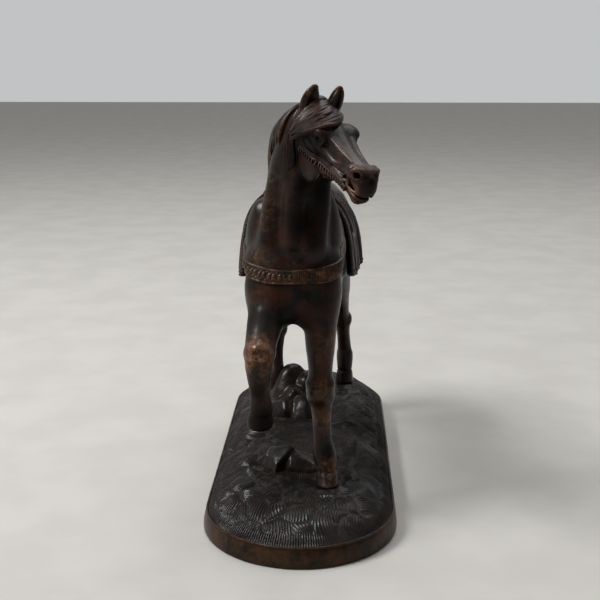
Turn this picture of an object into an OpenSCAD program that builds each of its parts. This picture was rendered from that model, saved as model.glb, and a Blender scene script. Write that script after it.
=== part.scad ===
// Cast bronze statuette of a harnessed horse stepping across a mound of grass.
// The horse faces -Y, its left side is +X and the base rests on z = 0.

/* [Base] */
// Length of the round-ended base
base_l = 316; // [300:1:340]
// Width of the base
base_w = 120; // [114:1:126]
// Height of the plain band round the base
band_h = 13; // [11:0.5:16]
// Rise of the modelled ground above the band, where the hooves stand
ground_rise = 14; // [12:0.5:18]
// Thickness of the cast walls of the base
base_wall = 4; // [3:0.5:5]

/* [Horse] */
// Size of the horse, where 1 is 173 mm from ground to withers
horse_scale = 1; // [0.96:0.01:1.02]
// Thickness of the cast walls of the barrel and neck
casting_wall = 4.5; // [3.5:0.5:6]
// Length of the head from poll to lips
head_l = 72; // [68:1:76]
// Turn of the head to the horse's left, in degrees
head_yaw = 30; // [15:1:35]
// Dip of the face below level, in degrees
head_dip = 23; // [20:1:34]
// Thickness of the straps
strap_t = 2; // [1.5:0.1:2.6]

/* [Fixings] */
// Diameter of the threaded studs under the hooves
stud_d = 5; // [4:0.5:5]
// Clearance of the studs in their holes, on the diameter
stud_play = 0.4; // [0.3:0.1:0.8]

/* [Hidden] */
$fn = 48;

// Base
ground_h = band_h + ground_rise;
band_w = 6;                        // width of the band, seen from below
lip_w = 2.4;                       // width of the band along its top edge
ledge_h = 6;                       // the ground casting rests on a ledge at this height
tuft_h = 1.1;                      // depth of the hollows between tufts
edge_drop = 0.9;                   // the ground meets the band this far below its top
band_round = 1.2;                  // bevel of the band's top outer edge
ground_gap = 0.2;                  // joint between ground casting and band
outline_steps = 20;                // points round each end of the base
ceiling_h = ground_h - base_wall - tuft_h;
flat_share = 0.62;                 // share of the width under the flat ceiling

// Horse: each station is [x, y, height above the ground, half width, half length, half height]
limb_fn = 14;
barrel_fn = 18;
trunk_line = [
    [-6, -77, 133, 27, 20, 33],
    [-5, -50, 137, 28, 26, 37],
    [-4, -18, 129, 30, 26, 39],
    [-3, 14, 129, 30, 26, 36],
    [-0.5, 52, 134, 33, 28, 35]
];
breast_line = [
    [-20, -79, 115, 13.5, 16, 22],
    [10, -78, 115, 13.5, 16, 22]
];
neck_line = [
    [-5, -64, 149, 22, 25, 24],
    [-1.5, -73, 171, 19.5, 22, 18],
    [-2, -79, 189, 17, 19, 14],
    [-0.5, -84, 204, 15, 17, 12],
    [4, -88, 217, 13, 14, 10],
    [9, -93, 223, 11, 11, 8]
];
left_foreleg_line = [
    [9, -78, 124, 13, 17, 17],
    [11.5, -82, 101, 10.5, 14, 10],
    [11.5, -87, 77, 8.8, 10.5, 8],
    [12, -91, 58, 9.2, 9.5, 6.5],
    [12.8, -90, 45, 7.2, 7.8, 5],
    [13.3, -90, 25, 6.6, 7.2, 5],
    [15, -91, 14, 7.6, 8.2, 5],
    [16.4, -95, 8, 6.2, 7.4, 3],
    [17, -98.5, 0, 6.6, 9.8, 1]
];
right_foreleg_line = [
    [-15, -78, 124, 13, 17, 17],
    [-19.5, -90, 107, 11.8, 13, 11],
    [-22, -106, 96, 9.8, 10, 8.5],
    [-23, -116, 87, 8.6, 8.6, 8.2],
    [-23.5, -115, 73, 7.2, 7, 5],
    [-22.8, -112, 59, 6.5, 6.6, 5],
    [-22.8, -110, 53, 7.3, 7.5, 4.5],
    [-23.2, -107, 47, 6.6, 6.8, 3.5],
    [-23.8, -106, 39, 8.4, 8.8, 2.5]
];
left_hind_line = [
    [13, 54, 120, 17, 25, 24],
    [19, 64, 101, 12, 18, 13],
    [23, 78, 85, 8.5, 12, 8],
    [25, 90, 70, 6.6, 10, 7],
    [26, 97, 54, 5.8, 7.6, 5],
    [27.5, 104, 36, 5.8, 6.6, 5],
    [28.3, 107, 27, 6.8, 7.8, 5],
    [28.4, 105, 18, 5.8, 6.6, 4],
    [28.4, 105, 9, 7, 8.5, 3],
    [28.4, 106, 0, 7.2, 10, 1]
];
right_hind_line = [
    [-17, 50, 120, 16, 25, 24],
    [-21, 54, 101, 12, 18, 13],
    [-23, 63, 85, 8.5, 12, 8],
    [-23.5, 71, 70, 6.6, 10, 7],
    [-23.6, 68, 54, 5.8, 7.6, 5],
    [-24, 62, 36, 5.8, 6.6, 5],
    [-24.2, 59, 27, 6.8, 7.8, 5],
    [-24.3, 54, 18, 5.8, 6.6, 4],
    [-24.4, 51, 9, 7, 8.5, 3],
    [-24.5, 50, 0, 7.2, 10, 1]
];
tail_line = [
    [-1.5, 78, 156, 6, 6, 6],
    [-1.5, 88, 158, 6, 7, 6],
    [-1.5, 99, 147, 6.5, 7, 7],
    [-1, 107, 124, 8, 8, 10],
    [0, 110, 94, 9, 8.5, 10],
    [1, 106, 66, 7.5, 7.5, 10],
    [1, 100, 44, 3, 3.5, 6]
];

// Head: stations in head lengths from the poll, muzzle towards -Y and forehead towards +Z
poll = [9.5, -97, 224];
head_roll = 4;
skull_line = [
    [0, -0.05, -0.08, 0.125, 0.11, 0.13],
    [0, -0.29, -0.06, 0.15, 0.12, 0.14],
    [0, -0.58, -0.07, 0.1, 0.1, 0.11],
    [0, -0.83, -0.09, 0.105, 0.1, 0.1],
    [0, -0.92, -0.12, 0.095, 0.07, 0.095]
];
jaw_line = [
    [0, -0.22, -0.26, 0.11, 0.16, 0.15],
    [0, -0.48, -0.23, 0.08, 0.1, 0.09],
    [0, -0.86, -0.23, 0.08, 0.09, 0.065]
];
brow_line = [
    [-0.11, -0.34, 0, 0.05, 0.08, 0.06],
    [0.11, -0.34, 0, 0.05, 0.08, 0.06]
];
ear_line = [
    [0.09, -0.01, 0.04, 0.05, 0.045, 0.05],
    [0.12, 0, 0.13, 0.055, 0.04, 0.055],
    [0.125, 0, 0.23, 0.026, 0.02, 0.035]
];
forelock_start = -0.06;
forelock_line = [
    [0.02, -0.06, 0.085, 0.075, 0.07, 0.035],
    [-0.03, -0.15, 0.09, 0.09, 0.08, 0.035],
    [-0.13, -0.26, 0.035, 0.06, 0.07, 0.04],
    [-0.185, -0.33, -0.05, 0.015, 0.03, 0.03]
];
mane_line = [
    [4, -84, 224, 6, 8, 7],
    [-4, -75, 214, 8, 9, 9],
    [-9, -70, 201, 8, 10, 10],
    [-14, -68, 189, 7.5, 10, 10],
    [-14, -64, 176, 3.5, 6, 6]
];

// Cuts between the castings
head_floor = 168;                   // the head casting lies wholly above this height
neck_cut = [-3, -70, 153];          // a point of the joint at the foot of the neck
neck_cut_tilt = 38;
body_middle = -4;                   // between the forelegs
foreleg_rear = 60;                  // the foreleg castings lie in front of this
foreleg_cut_h = 98;
hind_middle = -0.5;                 // between the hind legs
hind_front = 32;                    // the hind leg castings lie behind this
hind_cut_h = 95;
forearm_cut = [-19, -90, 104];
forearm_cut_tilt = -30;

// Tack
collar_front = [-5, -97, 129.5];
collar_tilt = 18;
collar_w = 8;
collar_reach = 62;                  // how far back the collar runs
cloth_front = -46;
cloth_rear = 34;
cloth_rings = 20;
cloth_t = 2.2;
cloth_fold = 0.9;
cloth_flare = 0.16;                 // how much wider the hem is at the rear
fold_turns = 30;                    // degrees of fold for each millimetre along the hem
// Half outline of the cloth: distance from the middle and drop below the back
cloth_profile = [[0, 0], [13, -2.5], [23, -9], [30, -18], [33.5, -28], [35.5, -43], [36.5, -57]];
// Saddle, against distance along the back: rise above the skirts, and reach down the cloth
saddle_steps = 6;
saddle_ribs = [-42, -38, -33, -26, -18, -10, -2, 5, 10, 14];
saddle_rise = [[-42, 2], [-38, 9], [-33, 7], [-26, 3], [-14, 1.5], [-2, 3], [5, 8], [10, 9], [14, 3]];
saddle_reach = [[-42, 2], [-33, 3], [-22, 4.4], [-4, 4.4], [14, 2.4]];
skirt_t = 1.8;
girth_y = -30;
girth_w = 11;
girth_top = 112;                    // its upper ends lie under the cloth
bridle_w = 3.6;
bridle_t = 1.2;
cheek_tilt = 14;
throat_tilt = -12;
bit_place = [-0.76, -0.16];         // y and z in head lengths
bit_out = 8.8;
bit_ring_r = 3.6;
bit_wire_r = 0.8;

// Hooves that stand on the ground: x and y of their studs
stud_places = [[17, -98], [28.4, 106], [-24.5, 50]];
stud_grip = 9;                     // length of stud inside a hoof
washer_t = 1;
washer_d = 2 * stud_d;
nut_t = 0.8 * stud_d;
nut_af = 1.6 * stud_d;
stud_tail = 1;                     // thread left showing below the nut
nut_play = 0.1;

big = 400;                         // larger than the whole statuette

// ---------- Shared shapes ----------

module stadium(l, w) {
    square([w, l - w], center = true);
    for (side = [-1, 1])
        translate([0, side * (l - w) / 2]) circle(d = w, $fn = 96);
}

// A point of the base's outline, at step k, for a stadium of the given width
function outline_point(k, w, spine) =
    let (half = outline_steps + 1,
         end = k < half ? 1 : -1,
         step = k % half,
         a = (end > 0 ? 0 : 180) + 180 * step / outline_steps)
    [w / 2 * cos(a), w / 2 * sin(a) + end * spine / 2];

outline_range = [0 : 2 * outline_steps + 1];

function ring_at(w, heights) =
    [for (k = outline_range)
        let (p = outline_point(k, w, base_l - base_w))
        [p[0], p[1], heights[k]]];

// A closed solid through a stack of rings with equal numbers of points.
// Each ring of an arch runs out along its outer face and back along its inner face.
module ring_solid(rings, arch = false) {
    n = len(rings[0]);
    end = n * (len(rings) - 1);
    sides = [for (j = [0 : n : end - n], k = [0 : n - 1])
        let (a = j + k, b = j + (k + 1) % n)
        each [[a, b, b + n], [a, b + n, a + n]]];
    flat_caps = [[for (k = [n - 1 : -1 : 0]) k], [for (k = [0 : n - 1]) end + k]];
    arch_caps = [for (k = [0 : n / 2 - 2])
        let (opposite = n - 1 - k)
        each [[k, opposite, k + 1],
              [k + 1, opposite, opposite - 1],
              [end + k, end + k + 1, end + opposite],
              [end + k + 1, end + opposite - 1, end + opposite]]];
    polyhedron([for (r = rings) each r], concat(sides, arch ? arch_caps : flat_caps));
}

module blob(s, grow)
    translate([s[0], s[1], s[2]])
        scale([s[3] + grow, s[4] + grow, s[5] + grow])
            sphere(1);

// A rounded form that runs through a list of stations
module chain(line, grow = 0)
    for (i = [0 : len(line) - 2])
        hull() {
            blob(line[i], grow);
            blob(line[i + 1], grow);
        }

function in_head_lengths(line) = [for (s = line) head_l * s];

module on_ground() translate([0, 0, ground_h]) scale(horse_scale) children();

module in_head_frame()
    translate(poll) rotate([head_dip, head_roll, head_yaw]) children();

// Half-space on the upper side of a plane through a point, tilted about X
module above(point, tilt)
    translate(point) rotate([tilt, 0, 0]) translate([-big / 2, -big / 2, 0]) cube(big);

module trunk(grow = 0) {
    chain(trunk_line, grow, $fn = barrel_fn);
    chain(breast_line, grow, $fn = barrel_fn);
}

module head_mass(grow = 0)
    in_head_frame() {
        chain(in_head_lengths(skull_line), grow, $fn = 18);
        chain(in_head_lengths(jaw_line), grow, $fn = limb_fn);
        chain(in_head_lengths(brow_line), grow, $fn = limb_fn);
    }

// Space in front of the joint between neck and head
module head_side()
    intersection() {
        in_head_frame()
            translate([0, 0.06 * head_l, 0]) rotate([-22, 0, 0])
                translate([-big / 2, -big, -big / 2]) cube(big);
        translate([-big / 2, -big / 2, head_floor]) cube(big);
    }

module neck_mass(grow = 0) chain(neck_line, grow, $fn = 20);

// ---------- Base ----------

module plinth_band()
    color("#4a3524")
        difference() {
            union() {
                linear_extrude(band_h - band_round) stadium(base_l, base_w);
                linear_extrude(band_h) stadium(base_l - band_round, base_w - band_round);
            }
            translate([0, 0, -1])
                linear_extrude(band_h + 2)
                    stadium(base_l - 2 * band_w, base_w - 2 * band_w);
            translate([0, 0, ledge_h])
                linear_extrude(band_h)
                    stadium(base_l - 2 * lip_w, base_w - 2 * lip_w);
        }

// Width of the ground casting, inside the lip of the band
ground_w = base_w - 2 * (lip_w + ground_gap);

// Height of the modelled ground, at a share of the way from spine to edge
function ground_height(share, k) =
    let (edge = band_h - edge_drop,
         dome = 1 - pow(max(0, (share - 0.55) / 0.45), 2),
         tuft = tuft_h * sin(share * 180) * sin(k * 41 + share * 300))
    share >= 1 ? edge : share < 0.3 ? ground_h : edge + (ground_h - edge) * dome + min(0, tuft);

function ground_ring(share) =
    ring_at(share * ground_w, [for (k = outline_range) ground_height(share, k)]);

function level_ring(share, h) = ring_at(share * ground_w, [for (k = outline_range) h]);

module ground_casting() {
    inner = 1 - 2 * base_wall / ground_w;
    color("#2b241d")
        difference() {
            ring_solid([
                for (share = [0.25, 0.45, 0.6, 0.72, 0.82, 0.9, 0.96, 1]) ground_ring(share),
                level_ring(1, ledge_h),
                level_ring(inner, ledge_h),
                level_ring(inner, band_h - base_wall),
                level_ring(flat_share, ceiling_h),
                level_ring(0.25, ceiling_h)
            ]);
            for (p = stud_places)
                translate([p[0] * horse_scale, p[1] * horse_scale, 0])
                    cylinder(d = stud_d + stud_play, h = 2 * ground_h);
        }
}

module rock(corners)
    on_ground()
        hull()
            for (c = corners)
                translate(c) sphere(1.2, $fn = 8);

module front_rock()
    color("#1d1814")
        rock([[-27, -76, 1.3], [-13, -84, 1.3], [-2, -88, 1.3], [3, -76, 1.3], [0, -60, 1.3],
              [-18, -58, 1.3], [-15, -75, 8], [-4, -78, 7.5], [-4, -66, 9], [-13, -63, 8.5]]);

module rear_rock()
    color("#241e19")
        rock([[-27, 20, 1.3], [-8, 12, 1.3], [4, 26, 1.3], [6, 62, 1.3], [-16, 66, 1.3],
              [-26, 32, 12], [-8, 22, 12], [2, 34, 13], [-21, 46, 27], [-4, 48, 30],
              [1, 62, 26], [-14, 64, 25]]);

// ---------- Horse ----------

// The trunk with the tops of the legs grown into it
module torso_mass(grow = 0) {
    trunk(grow);
    for (line = [left_foreleg_line, right_foreleg_line, left_hind_line, right_hind_line])
        chain([for (i = [0 : 2]) line[i]], grow, $fn = limb_fn);
}

// Hollow left by the casting core, which runs through the barrel and the neck
module core() {
    chain(trunk_line, -casting_wall, $fn = 16);
    chain(neck_line, -casting_wall, $fn = 16);
}

// The space below one foreleg joint; side is 1 for the left leg
module foreleg_room(side)
    translate([side > 0 ? body_middle : body_middle - big, -big - foreleg_rear, foreleg_cut_h - big])
        cube(big);

// The space that the lifted foreleg fills, in front of and below its joint
module forearm_room()
    difference() {
        translate([body_middle - big, -big - foreleg_rear, -big / 2]) cube(big);
        above(forearm_cut, forearm_cut_tilt);
    }

// The space below the joints of both hind legs
module hind_room()
    translate([-big / 2, hind_front, hind_cut_h - big]) cube(big);

module barrel()
    color("#33261d")
        on_ground()
            difference() {
                torso_mass();
                core();
                above(neck_cut, neck_cut_tilt);
                foreleg_room(1);
                forearm_room();
                hind_room();
            }

module neck()
    color("#3b2a1d")
        on_ground()
            difference() {
                intersection() {
                    union() {
                        neck_mass();
                        torso_mass();
                    }
                    above(neck_cut, neck_cut_tilt);
                }
                core();
                head_side();
            }

module head()
    color("#2f2520")
        on_ground()
            intersection() {
                union() {
                    head_mass();
                    neck_mass();
                }
                head_side();
            }

module ear(side)
    color("#4b382b")
        on_ground()
            difference() {
                in_head_frame()
                    mirror([side < 0 ? 1 : 0, 0, 0])
                        chain(in_head_lengths(ear_line), $fn = 12);
                head_mass();
                neck_mass();
                bridle_shape();
            }

module left_ear() ear(1);

module right_ear() ear(-1);

module mane()
    color("#2a211b")
        on_ground()
            difference() {
                chain(mane_line, $fn = limb_fn);
                neck_mass(0.05);
                head_mass(0.05);
                trunk(0.05);
                bridle_shape();
            }

module forelock()
    color("#5a4030")
        on_ground()
            difference() {
                in_head_frame() chain(in_head_lengths(forelock_line), $fn = limb_fn);
                head_mass(0.05);
                neck_mass(0.05);
                in_head_frame()
                    translate([-big / 2, forelock_start * head_l, -big / 2]) cube(big);
            }

// A leg standing flat on the ground, with a blind hole for its stud
module standing_leg(line, place)
    on_ground()
        difference() {
            intersection() {
                torso_and_leg(line);
                children();
            }
            translate([-big / 2, -big / 2, -big]) cube(big);
            translate([place[0], place[1], -1])
                cylinder(d = stud_d + stud_play, h = stud_grip + 1.4, $fn = 24);
        }

module torso_and_leg(line) {
    torso_mass();
    chain(line, $fn = limb_fn);
}

module left_foreleg()
    color("#3a2a22")
        standing_leg(left_foreleg_line, stud_places[0])
            foreleg_room(1);

module right_foreleg()
    color("#6a452b")
        on_ground()
            intersection() {
                torso_and_leg(right_foreleg_line);
                forearm_room();
            }

module left_hind_leg()
    color("#2c231d")
        standing_leg(left_hind_line, stud_places[1])
            intersection() {
                hind_room();
                translate([hind_middle, -big / 2, -big / 2]) cube(big);
            }

module right_hind_leg()
    color("#2c231d")
        standing_leg(right_hind_line, stud_places[2])
            difference() {
                hind_room();
                translate([hind_middle, -big / 2, -big / 2]) cube(big);
            }

module tail()
    color("#241d18")
        on_ground()
            difference() {
                chain(tail_line, $fn = limb_fn);
                torso_mass(0.05);
            }

// ---------- Tack ----------

// Height of the horse's back under the cloth
function back_height(y) = lookup(y, [for (s = trunk_line) [s[1], s[2] + s[5]]]);

// Half of the cloth's outline at one place, from the middle of the back to the hem
function cloth_half(y, inner = false, folds = cloth_fold) =
    let (widest = cloth_profile[len(cloth_profile) - 1][0])
    [for (p = cloth_profile)
        let (side = p[0] / widest,
             fold = folds * side * side * sin(fold_turns * y),
             flare = 1 + cloth_flare * side * (y - cloth_front) / (cloth_rear - cloth_front),
             thick = inner ? cloth_t : 0)
        [p[0] * flare + fold - thick * side,
         back_height(y) + cloth_t + 0.3 + p[1] - thick * (1 - side)]];

function mirrored(half) = [for (i = [len(half) - 1 : -1 : 1]) [-half[i][0], half[i][1]]];

function cloth_middle(y) = lookup(y, [for (s = trunk_line) [s[1], s[0]]]);

function cloth_ring(y) =
    let (outer = cloth_half(y), inner = cloth_half(y, inner = true))
    [for (p = concat(mirrored(outer), outer,
                     [for (i = [len(inner) - 1 : -1 : 0]) inner[i]],
                     [for (i = [1 : len(inner) - 1]) [-inner[i][0], inner[i][1]]]))
        [cloth_middle(y) + p[0], y, p[1]]];

module saddle_cloth()
    color("#3a3229")
        on_ground()
            ring_solid([for (i = [0 : cloth_rings])
                cloth_ring(cloth_front + (cloth_rear - cloth_front) * i / cloth_rings)],
                arch = true);

// A point of the cloth's outer face, u counting the points of its profile from the back
function on_cloth(y, u) =
    let (half = cloth_half(y, folds = 0))
    [for (axis = [0, 1]) lookup(u, [for (i = [0 : len(half) - 1]) [i, half[i][axis]]])];

// One rib of the saddle: the underside lies on the cloth, the top is thicker in the middle
function saddle_ring(y) =
    let (reach = lookup(y, saddle_reach),
         rise = lookup(y, saddle_rise),
         under = [for (i = [0 : saddle_steps])
             on_cloth(y, reach * i / saddle_steps) + [0, 0.15]],
         over = [for (i = [0 : saddle_steps])
             let (side = i / saddle_steps, thick = skirt_t + rise * pow(1 - side, 1.6))
             under[i] + [thick * side, thick * (1 - 0.8 * side)]])
    [for (p = concat(mirrored(over), over,
                     [for (i = [saddle_steps : -1 : 0]) under[i]],
                     [for (i = [1 : saddle_steps]) [-under[i][0], under[i][1]]]))
        [cloth_middle(y) + p[0], y, p[1]]];

module saddle()
    color("#2d2018")
        on_ground()
            ring_solid([for (y = saddle_ribs) saddle_ring(y)], arch = true);

module girth()
    color("#33261c")
        on_ground()
            intersection() {
                difference() {
                    trunk(strap_t);
                    trunk(0.05);
                }
                translate([-big / 2, girth_y - girth_w / 2, girth_top - big]) cube([big, girth_w, big]);
            }

module chest_mass(grow) {
    trunk(grow);
    neck_mass(grow);
    chain([for (i = [0 : 2]) left_foreleg_line[i]], grow, $fn = limb_fn);
    chain([for (i = [0 : 2]) right_foreleg_line[i]], grow, $fn = limb_fn);
}

module breast_collar()
    color("#5b4028")
        on_ground()
            intersection() {
                difference() {
                    chest_mass(strap_t);
                    chest_mass(0.05);
                }
                translate(collar_front) rotate([collar_tilt, 0, 0])
                    translate([-big / 2, -10, -collar_w / 2])
                        cube([big, collar_reach, collar_w]);
            }

// Everything that the bridle lies on
module bridled_mass(grow) {
    head_mass(grow);
    neck_mass(grow);
}

// Where the cheek straps and the strap round poll and throat run
module bridle_bands()
    in_head_frame() {
        translate(head_l * [0, -0.42, -0.12]) rotate([cheek_tilt, 0, 0])
            cube([big, 0.76 * head_l, bridle_w], center = true);
        translate(head_l * [0, -0.03, -0.1]) rotate([throat_tilt, 0, 0])
            cube([big, bridle_w, head_l], center = true);
    }

module bridle_shape()
    intersection() {
        difference() {
            bridled_mass(bridle_t);
            bridled_mass(0.05);
        }
        bridle_bands();
    }

module bridle()
    color("#4a3a2c")
        on_ground() bridle_shape();

module bit_rings()
    color("#6b543a")
        on_ground()
            in_head_frame()
                for (side = [-1, 1])
                    translate([side * bit_out, bit_place[0] * head_l, bit_place[1] * head_l])
                        rotate([0, 90, 0])
                            rotate_extrude() translate([bit_ring_r, 0]) circle(r = bit_wire_r);

// ---------- Fixings under the base ----------

module at_studs()
    for (p = stud_places)
        translate([p[0] * horse_scale, p[1] * horse_scale, 0]) children();

module hoof_studs() {
    low = ceiling_h - washer_t - nut_t - stud_tail;
    color("#8a6b3c")
        at_studs()
            translate([0, 0, low]) cylinder(d = stud_d, h = ground_h + stud_grip - low);
}

module stud_washers()
    color("#9a7c48")
        at_studs()
            translate([0, 0, ceiling_h - washer_t])
                difference() {
                    cylinder(d = washer_d, h = washer_t);
                    translate([0, 0, -1]) cylinder(d = stud_d + stud_play, h = washer_t + 2);
                }

module stud_nuts()
    color("#8a6b3c")
        at_studs()
            translate([0, 0, ceiling_h - washer_t - nut_t])
                difference() {
                    cylinder(d = nut_af / cos(30), h = nut_t, $fn = 6);
                    translate([0, 0, -1]) cylinder(d = stud_d + nut_play, h = nut_t + 2);
                }

plinth_band();
ground_casting();
front_rock();
rear_rock();
barrel();
neck();
head();
left_ear();
right_ear();
mane();
forelock();
left_foreleg();
right_foreleg();
left_hind_leg();
right_hind_leg();
tail();
saddle_cloth();
saddle();
girth();
breast_collar();
bridle();
bit_rings();
hoof_studs();
stud_washers();
stud_nuts();
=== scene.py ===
import math
from collections import namedtuple
from contextlib import contextmanager

import bmesh
import bpy
import numpy as np
from mathutils import Euler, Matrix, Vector


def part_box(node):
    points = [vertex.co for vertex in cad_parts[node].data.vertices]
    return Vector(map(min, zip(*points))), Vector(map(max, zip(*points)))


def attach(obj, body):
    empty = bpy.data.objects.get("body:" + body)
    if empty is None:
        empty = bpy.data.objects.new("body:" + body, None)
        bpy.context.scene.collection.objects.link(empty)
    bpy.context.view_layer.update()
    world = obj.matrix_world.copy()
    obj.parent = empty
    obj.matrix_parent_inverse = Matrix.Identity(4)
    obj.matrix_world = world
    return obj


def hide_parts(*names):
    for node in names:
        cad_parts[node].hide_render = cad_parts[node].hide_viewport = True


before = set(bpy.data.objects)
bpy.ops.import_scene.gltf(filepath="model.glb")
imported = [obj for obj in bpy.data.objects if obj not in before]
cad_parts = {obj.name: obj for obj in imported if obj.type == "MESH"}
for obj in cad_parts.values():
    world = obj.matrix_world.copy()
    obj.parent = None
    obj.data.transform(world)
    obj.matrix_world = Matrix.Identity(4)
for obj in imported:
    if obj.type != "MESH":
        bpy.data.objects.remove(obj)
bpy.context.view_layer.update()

MM = 0.001
COARSE = 1.0     # a quicker, coarser mesh while trying things


def box_mm(node):
    low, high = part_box(node)
    return np.array(low) / MM, np.array(high) / MM


GROUND = box_mm("left_foreleg")[0][2]   # height of the ground under the hooves
BAND_TOP = box_mm("plinth_band")[1][2]
BASE_HALF_W = box_mm("plinth_band")[1][0]
BASE_HALF_L = box_mm("plinth_band")[1][1]


# ---------- Distance fields ----------

FAR = 40.0
Shape = namedtuple("Shape", "low high distance")
CORNERS = np.array([(i, j, k) for i in (0, 1) for j in (0, 1) for k in (0, 1)])


def soft_min(a, b, blend):
    near = np.maximum(blend - np.abs(a - b), 0)
    return np.minimum(a, b) - near * near / (4 * blend)


def ellipsoid(centre, radii, turn=None):
    """An ellipsoid; turn is a 3 x 3 matrix whose columns are its own axes."""
    centre = np.asarray(centre, np.float32)
    radii = np.asarray(radii, np.float32)
    axes = np.eye(3, dtype=np.float32) if turn is None else np.asarray(turn, np.float32)
    reach = np.sqrt((axes ** 2) @ (radii ** 2))

    def distance(x, y, z):
        x, y, z = x - centre[0], y - centre[1], z - centre[2]
        if turn is not None:
            x, y, z = [x * a[0] + y * a[1] + z * a[2] for a in axes.T]
        x, y, z = x / radii[0], y / radii[1], z / radii[2]
        inner = np.sqrt(x * x + y * y + z * z)
        x, y, z = x / radii[0], y / radii[1], z / radii[2]
        outer = np.sqrt(x * x + y * y + z * z)
        return inner * (inner - 1) / np.maximum(outer, 1e-5)

    return Shape(centre - reach, centre + reach, distance)


def cone(a, b, radius_a, radius_b):
    """A bar with round ends whose radius goes from radius_a to radius_b."""
    a = np.asarray(a, np.float32)
    b = np.asarray(b, np.float32)
    along = b - a
    length2 = max(float(along @ along), 1e-9)

    def distance(x, y, z):
        x, y, z = x - a[0], y - a[1], z - a[2]
        t = np.clip((x * along[0] + y * along[1] + z * along[2]) / length2, 0, 1)
        x, y, z = x - t * along[0], y - t * along[1], z - t * along[2]
        return np.sqrt(x * x + y * y + z * z) - (radius_a + t * (radius_b - radius_a))

    low = np.minimum(a - radius_a, b - radius_b)
    high = np.maximum(a + radius_a, b + radius_b)
    return Shape(low, high, distance)


class Field:
    """Distances to a surface on a grid of points, in millimetres, negative inside."""

    def __init__(self, low, high, voxel):
        self.voxel = voxel * COARSE
        self.low = np.floor(np.asarray(low, float) / self.voxel) * self.voxel
        count = np.ceil((np.asarray(high, float) - self.low) / self.voxel).astype(int) + 1
        self.axes = [(self.low[a] + self.voxel * np.arange(count[a])).astype(np.float32)
                     for a in range(3)]
        self.values = np.full(count, FAR, np.float32)

    def window(self, low, high):
        """The slices of the grid that cover a box, or None where it lies outside."""
        spans = []
        for axis in range(3):
            first = max(0, math.floor((low[axis] - self.low[axis]) / self.voxel))
            last = min(self.values.shape[axis],
                       math.ceil((high[axis] - self.low[axis]) / self.voxel) + 1)
            if first >= last:
                return None
            spans.append(slice(first, last))
        return tuple(spans)

    def grid(self, spans):
        x, y, z = [axis[span] for axis, span in zip(self.axes, spans)]
        return x[:, None, None], y[None, :, None], z[None, None, :]

    def merged(self, shapes, margin):
        """The union of shapes, over the window that covers them, and that window."""
        shapes = [s for s in shapes if self.window(s.low - margin, s.high + margin)]
        if not shapes:
            return None, None
        low = np.min([s.low for s in shapes], axis=0) - margin
        high = np.max([s.high for s in shapes], axis=0) + margin
        spans = self.window(low, high)
        union = np.full([s.stop - s.start for s in spans], FAR, np.float32)
        for shape in shapes:
            part = self.window(shape.low - margin, shape.high + margin)
            local = tuple(slice(p.start - s.start, p.stop - s.start) for p, s in zip(part, spans))
            union[local] = np.minimum(union[local], shape.distance(*self.grid(part)))
        return union, spans

    def add(self, shapes, blend=0.5):
        union, spans = self.merged(shapes, blend + 2)
        if spans:
            self.values[spans] = soft_min(self.values[spans], union, blend)

    def cut(self, shapes, blend=0.5):
        union, spans = self.merged(shapes, blend + 2)
        if spans:
            self.values[spans] = -soft_min(-self.values[spans], union, blend)

    def smooth(self, rounds):
        """Takes off the small steps between neighbouring stations."""
        for _ in range(rounds):
            for axis in range(3):
                v = np.moveaxis(self.values, axis, 0)
                v[1:-1] = 0.25 * v[:-2] + 0.5 * v[1:-1] + 0.25 * v[2:]

    def sample(self, points):
        at = np.clip((points - self.low) / self.voxel, 0, np.array(self.values.shape) - 1.001)
        cell = at.astype(int)
        part = at - cell
        total = np.zeros(len(points))
        for corner in CORNERS:
            weight = np.prod(np.where(corner, part, 1 - part), axis=1)
            total += weight * self.values[tuple((cell + corner).T)]
        return total

    def slope(self, points, reach):
        steps = np.eye(3) * reach
        rise = [self.sample(points + s) - self.sample(points - s) for s in steps]
        return np.stack(rise, axis=1) / (2 * reach)

    def normals(self, points):
        slope = self.slope(points, 0.8 * self.voxel)
        return slope / np.maximum(np.linalg.norm(slope, axis=1, keepdims=True), 1e-6)

    def bulge(self, points, reach):
        """How convex the surface is at points of it: positive on ridges, negative in hollows."""
        steps = np.vstack([np.eye(3), -np.eye(3)]) * reach
        return sum(self.sample(points + s) for s in steps) / (6 * reach)

    def settle(self, points):
        """Moves points along the slope onto the surface."""
        slope = self.slope(points, 0.8 * self.voxel)
        steep = np.maximum(np.sum(slope * slope, axis=1), 0.05)
        return points - slope * (self.sample(points) / steep)[:, None]

    def surface(self):
        """Points and quads of the surface: one point for each grid cell that it crosses."""
        inside = self.values < 0
        shape = np.array(inside.shape) - 1
        filled = np.zeros(shape, np.int8)
        for i, j, k in CORNERS:
            filled += inside[i:shape[0] + i, j:shape[1] + j, k:shape[2] + k]
        crossed = (filled > 0) & (filled < len(CORNERS))
        cells = np.argwhere(crossed)
        index = np.full(shape, -1, np.int32)
        index[crossed] = np.arange(len(cells))
        return self.cell_points(cells), cell_quads(inside, index)

    def cell_points(self, cells):
        """The middle of the places where the surface crosses the edges of each cell."""
        total = np.zeros((len(cells), 3))
        count = np.zeros((len(cells), 1))
        for first in CORNERS:
            for axis in np.flatnonzero(first == 0):
                second = first.copy()
                second[axis] = 1
                a = self.values[tuple((cells + first).T)]
                b = self.values[tuple((cells + second).T)]
                crossing = (a < 0) != (b < 0)
                t = np.where(crossing, a / np.where(crossing, a - b, 1), 0)
                point = first + t[:, None] * (second - first)
                total += np.where(crossing[:, None], point, 0)
                count += crossing[:, None]
        return self.low + self.voxel * (cells + total / count)


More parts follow.
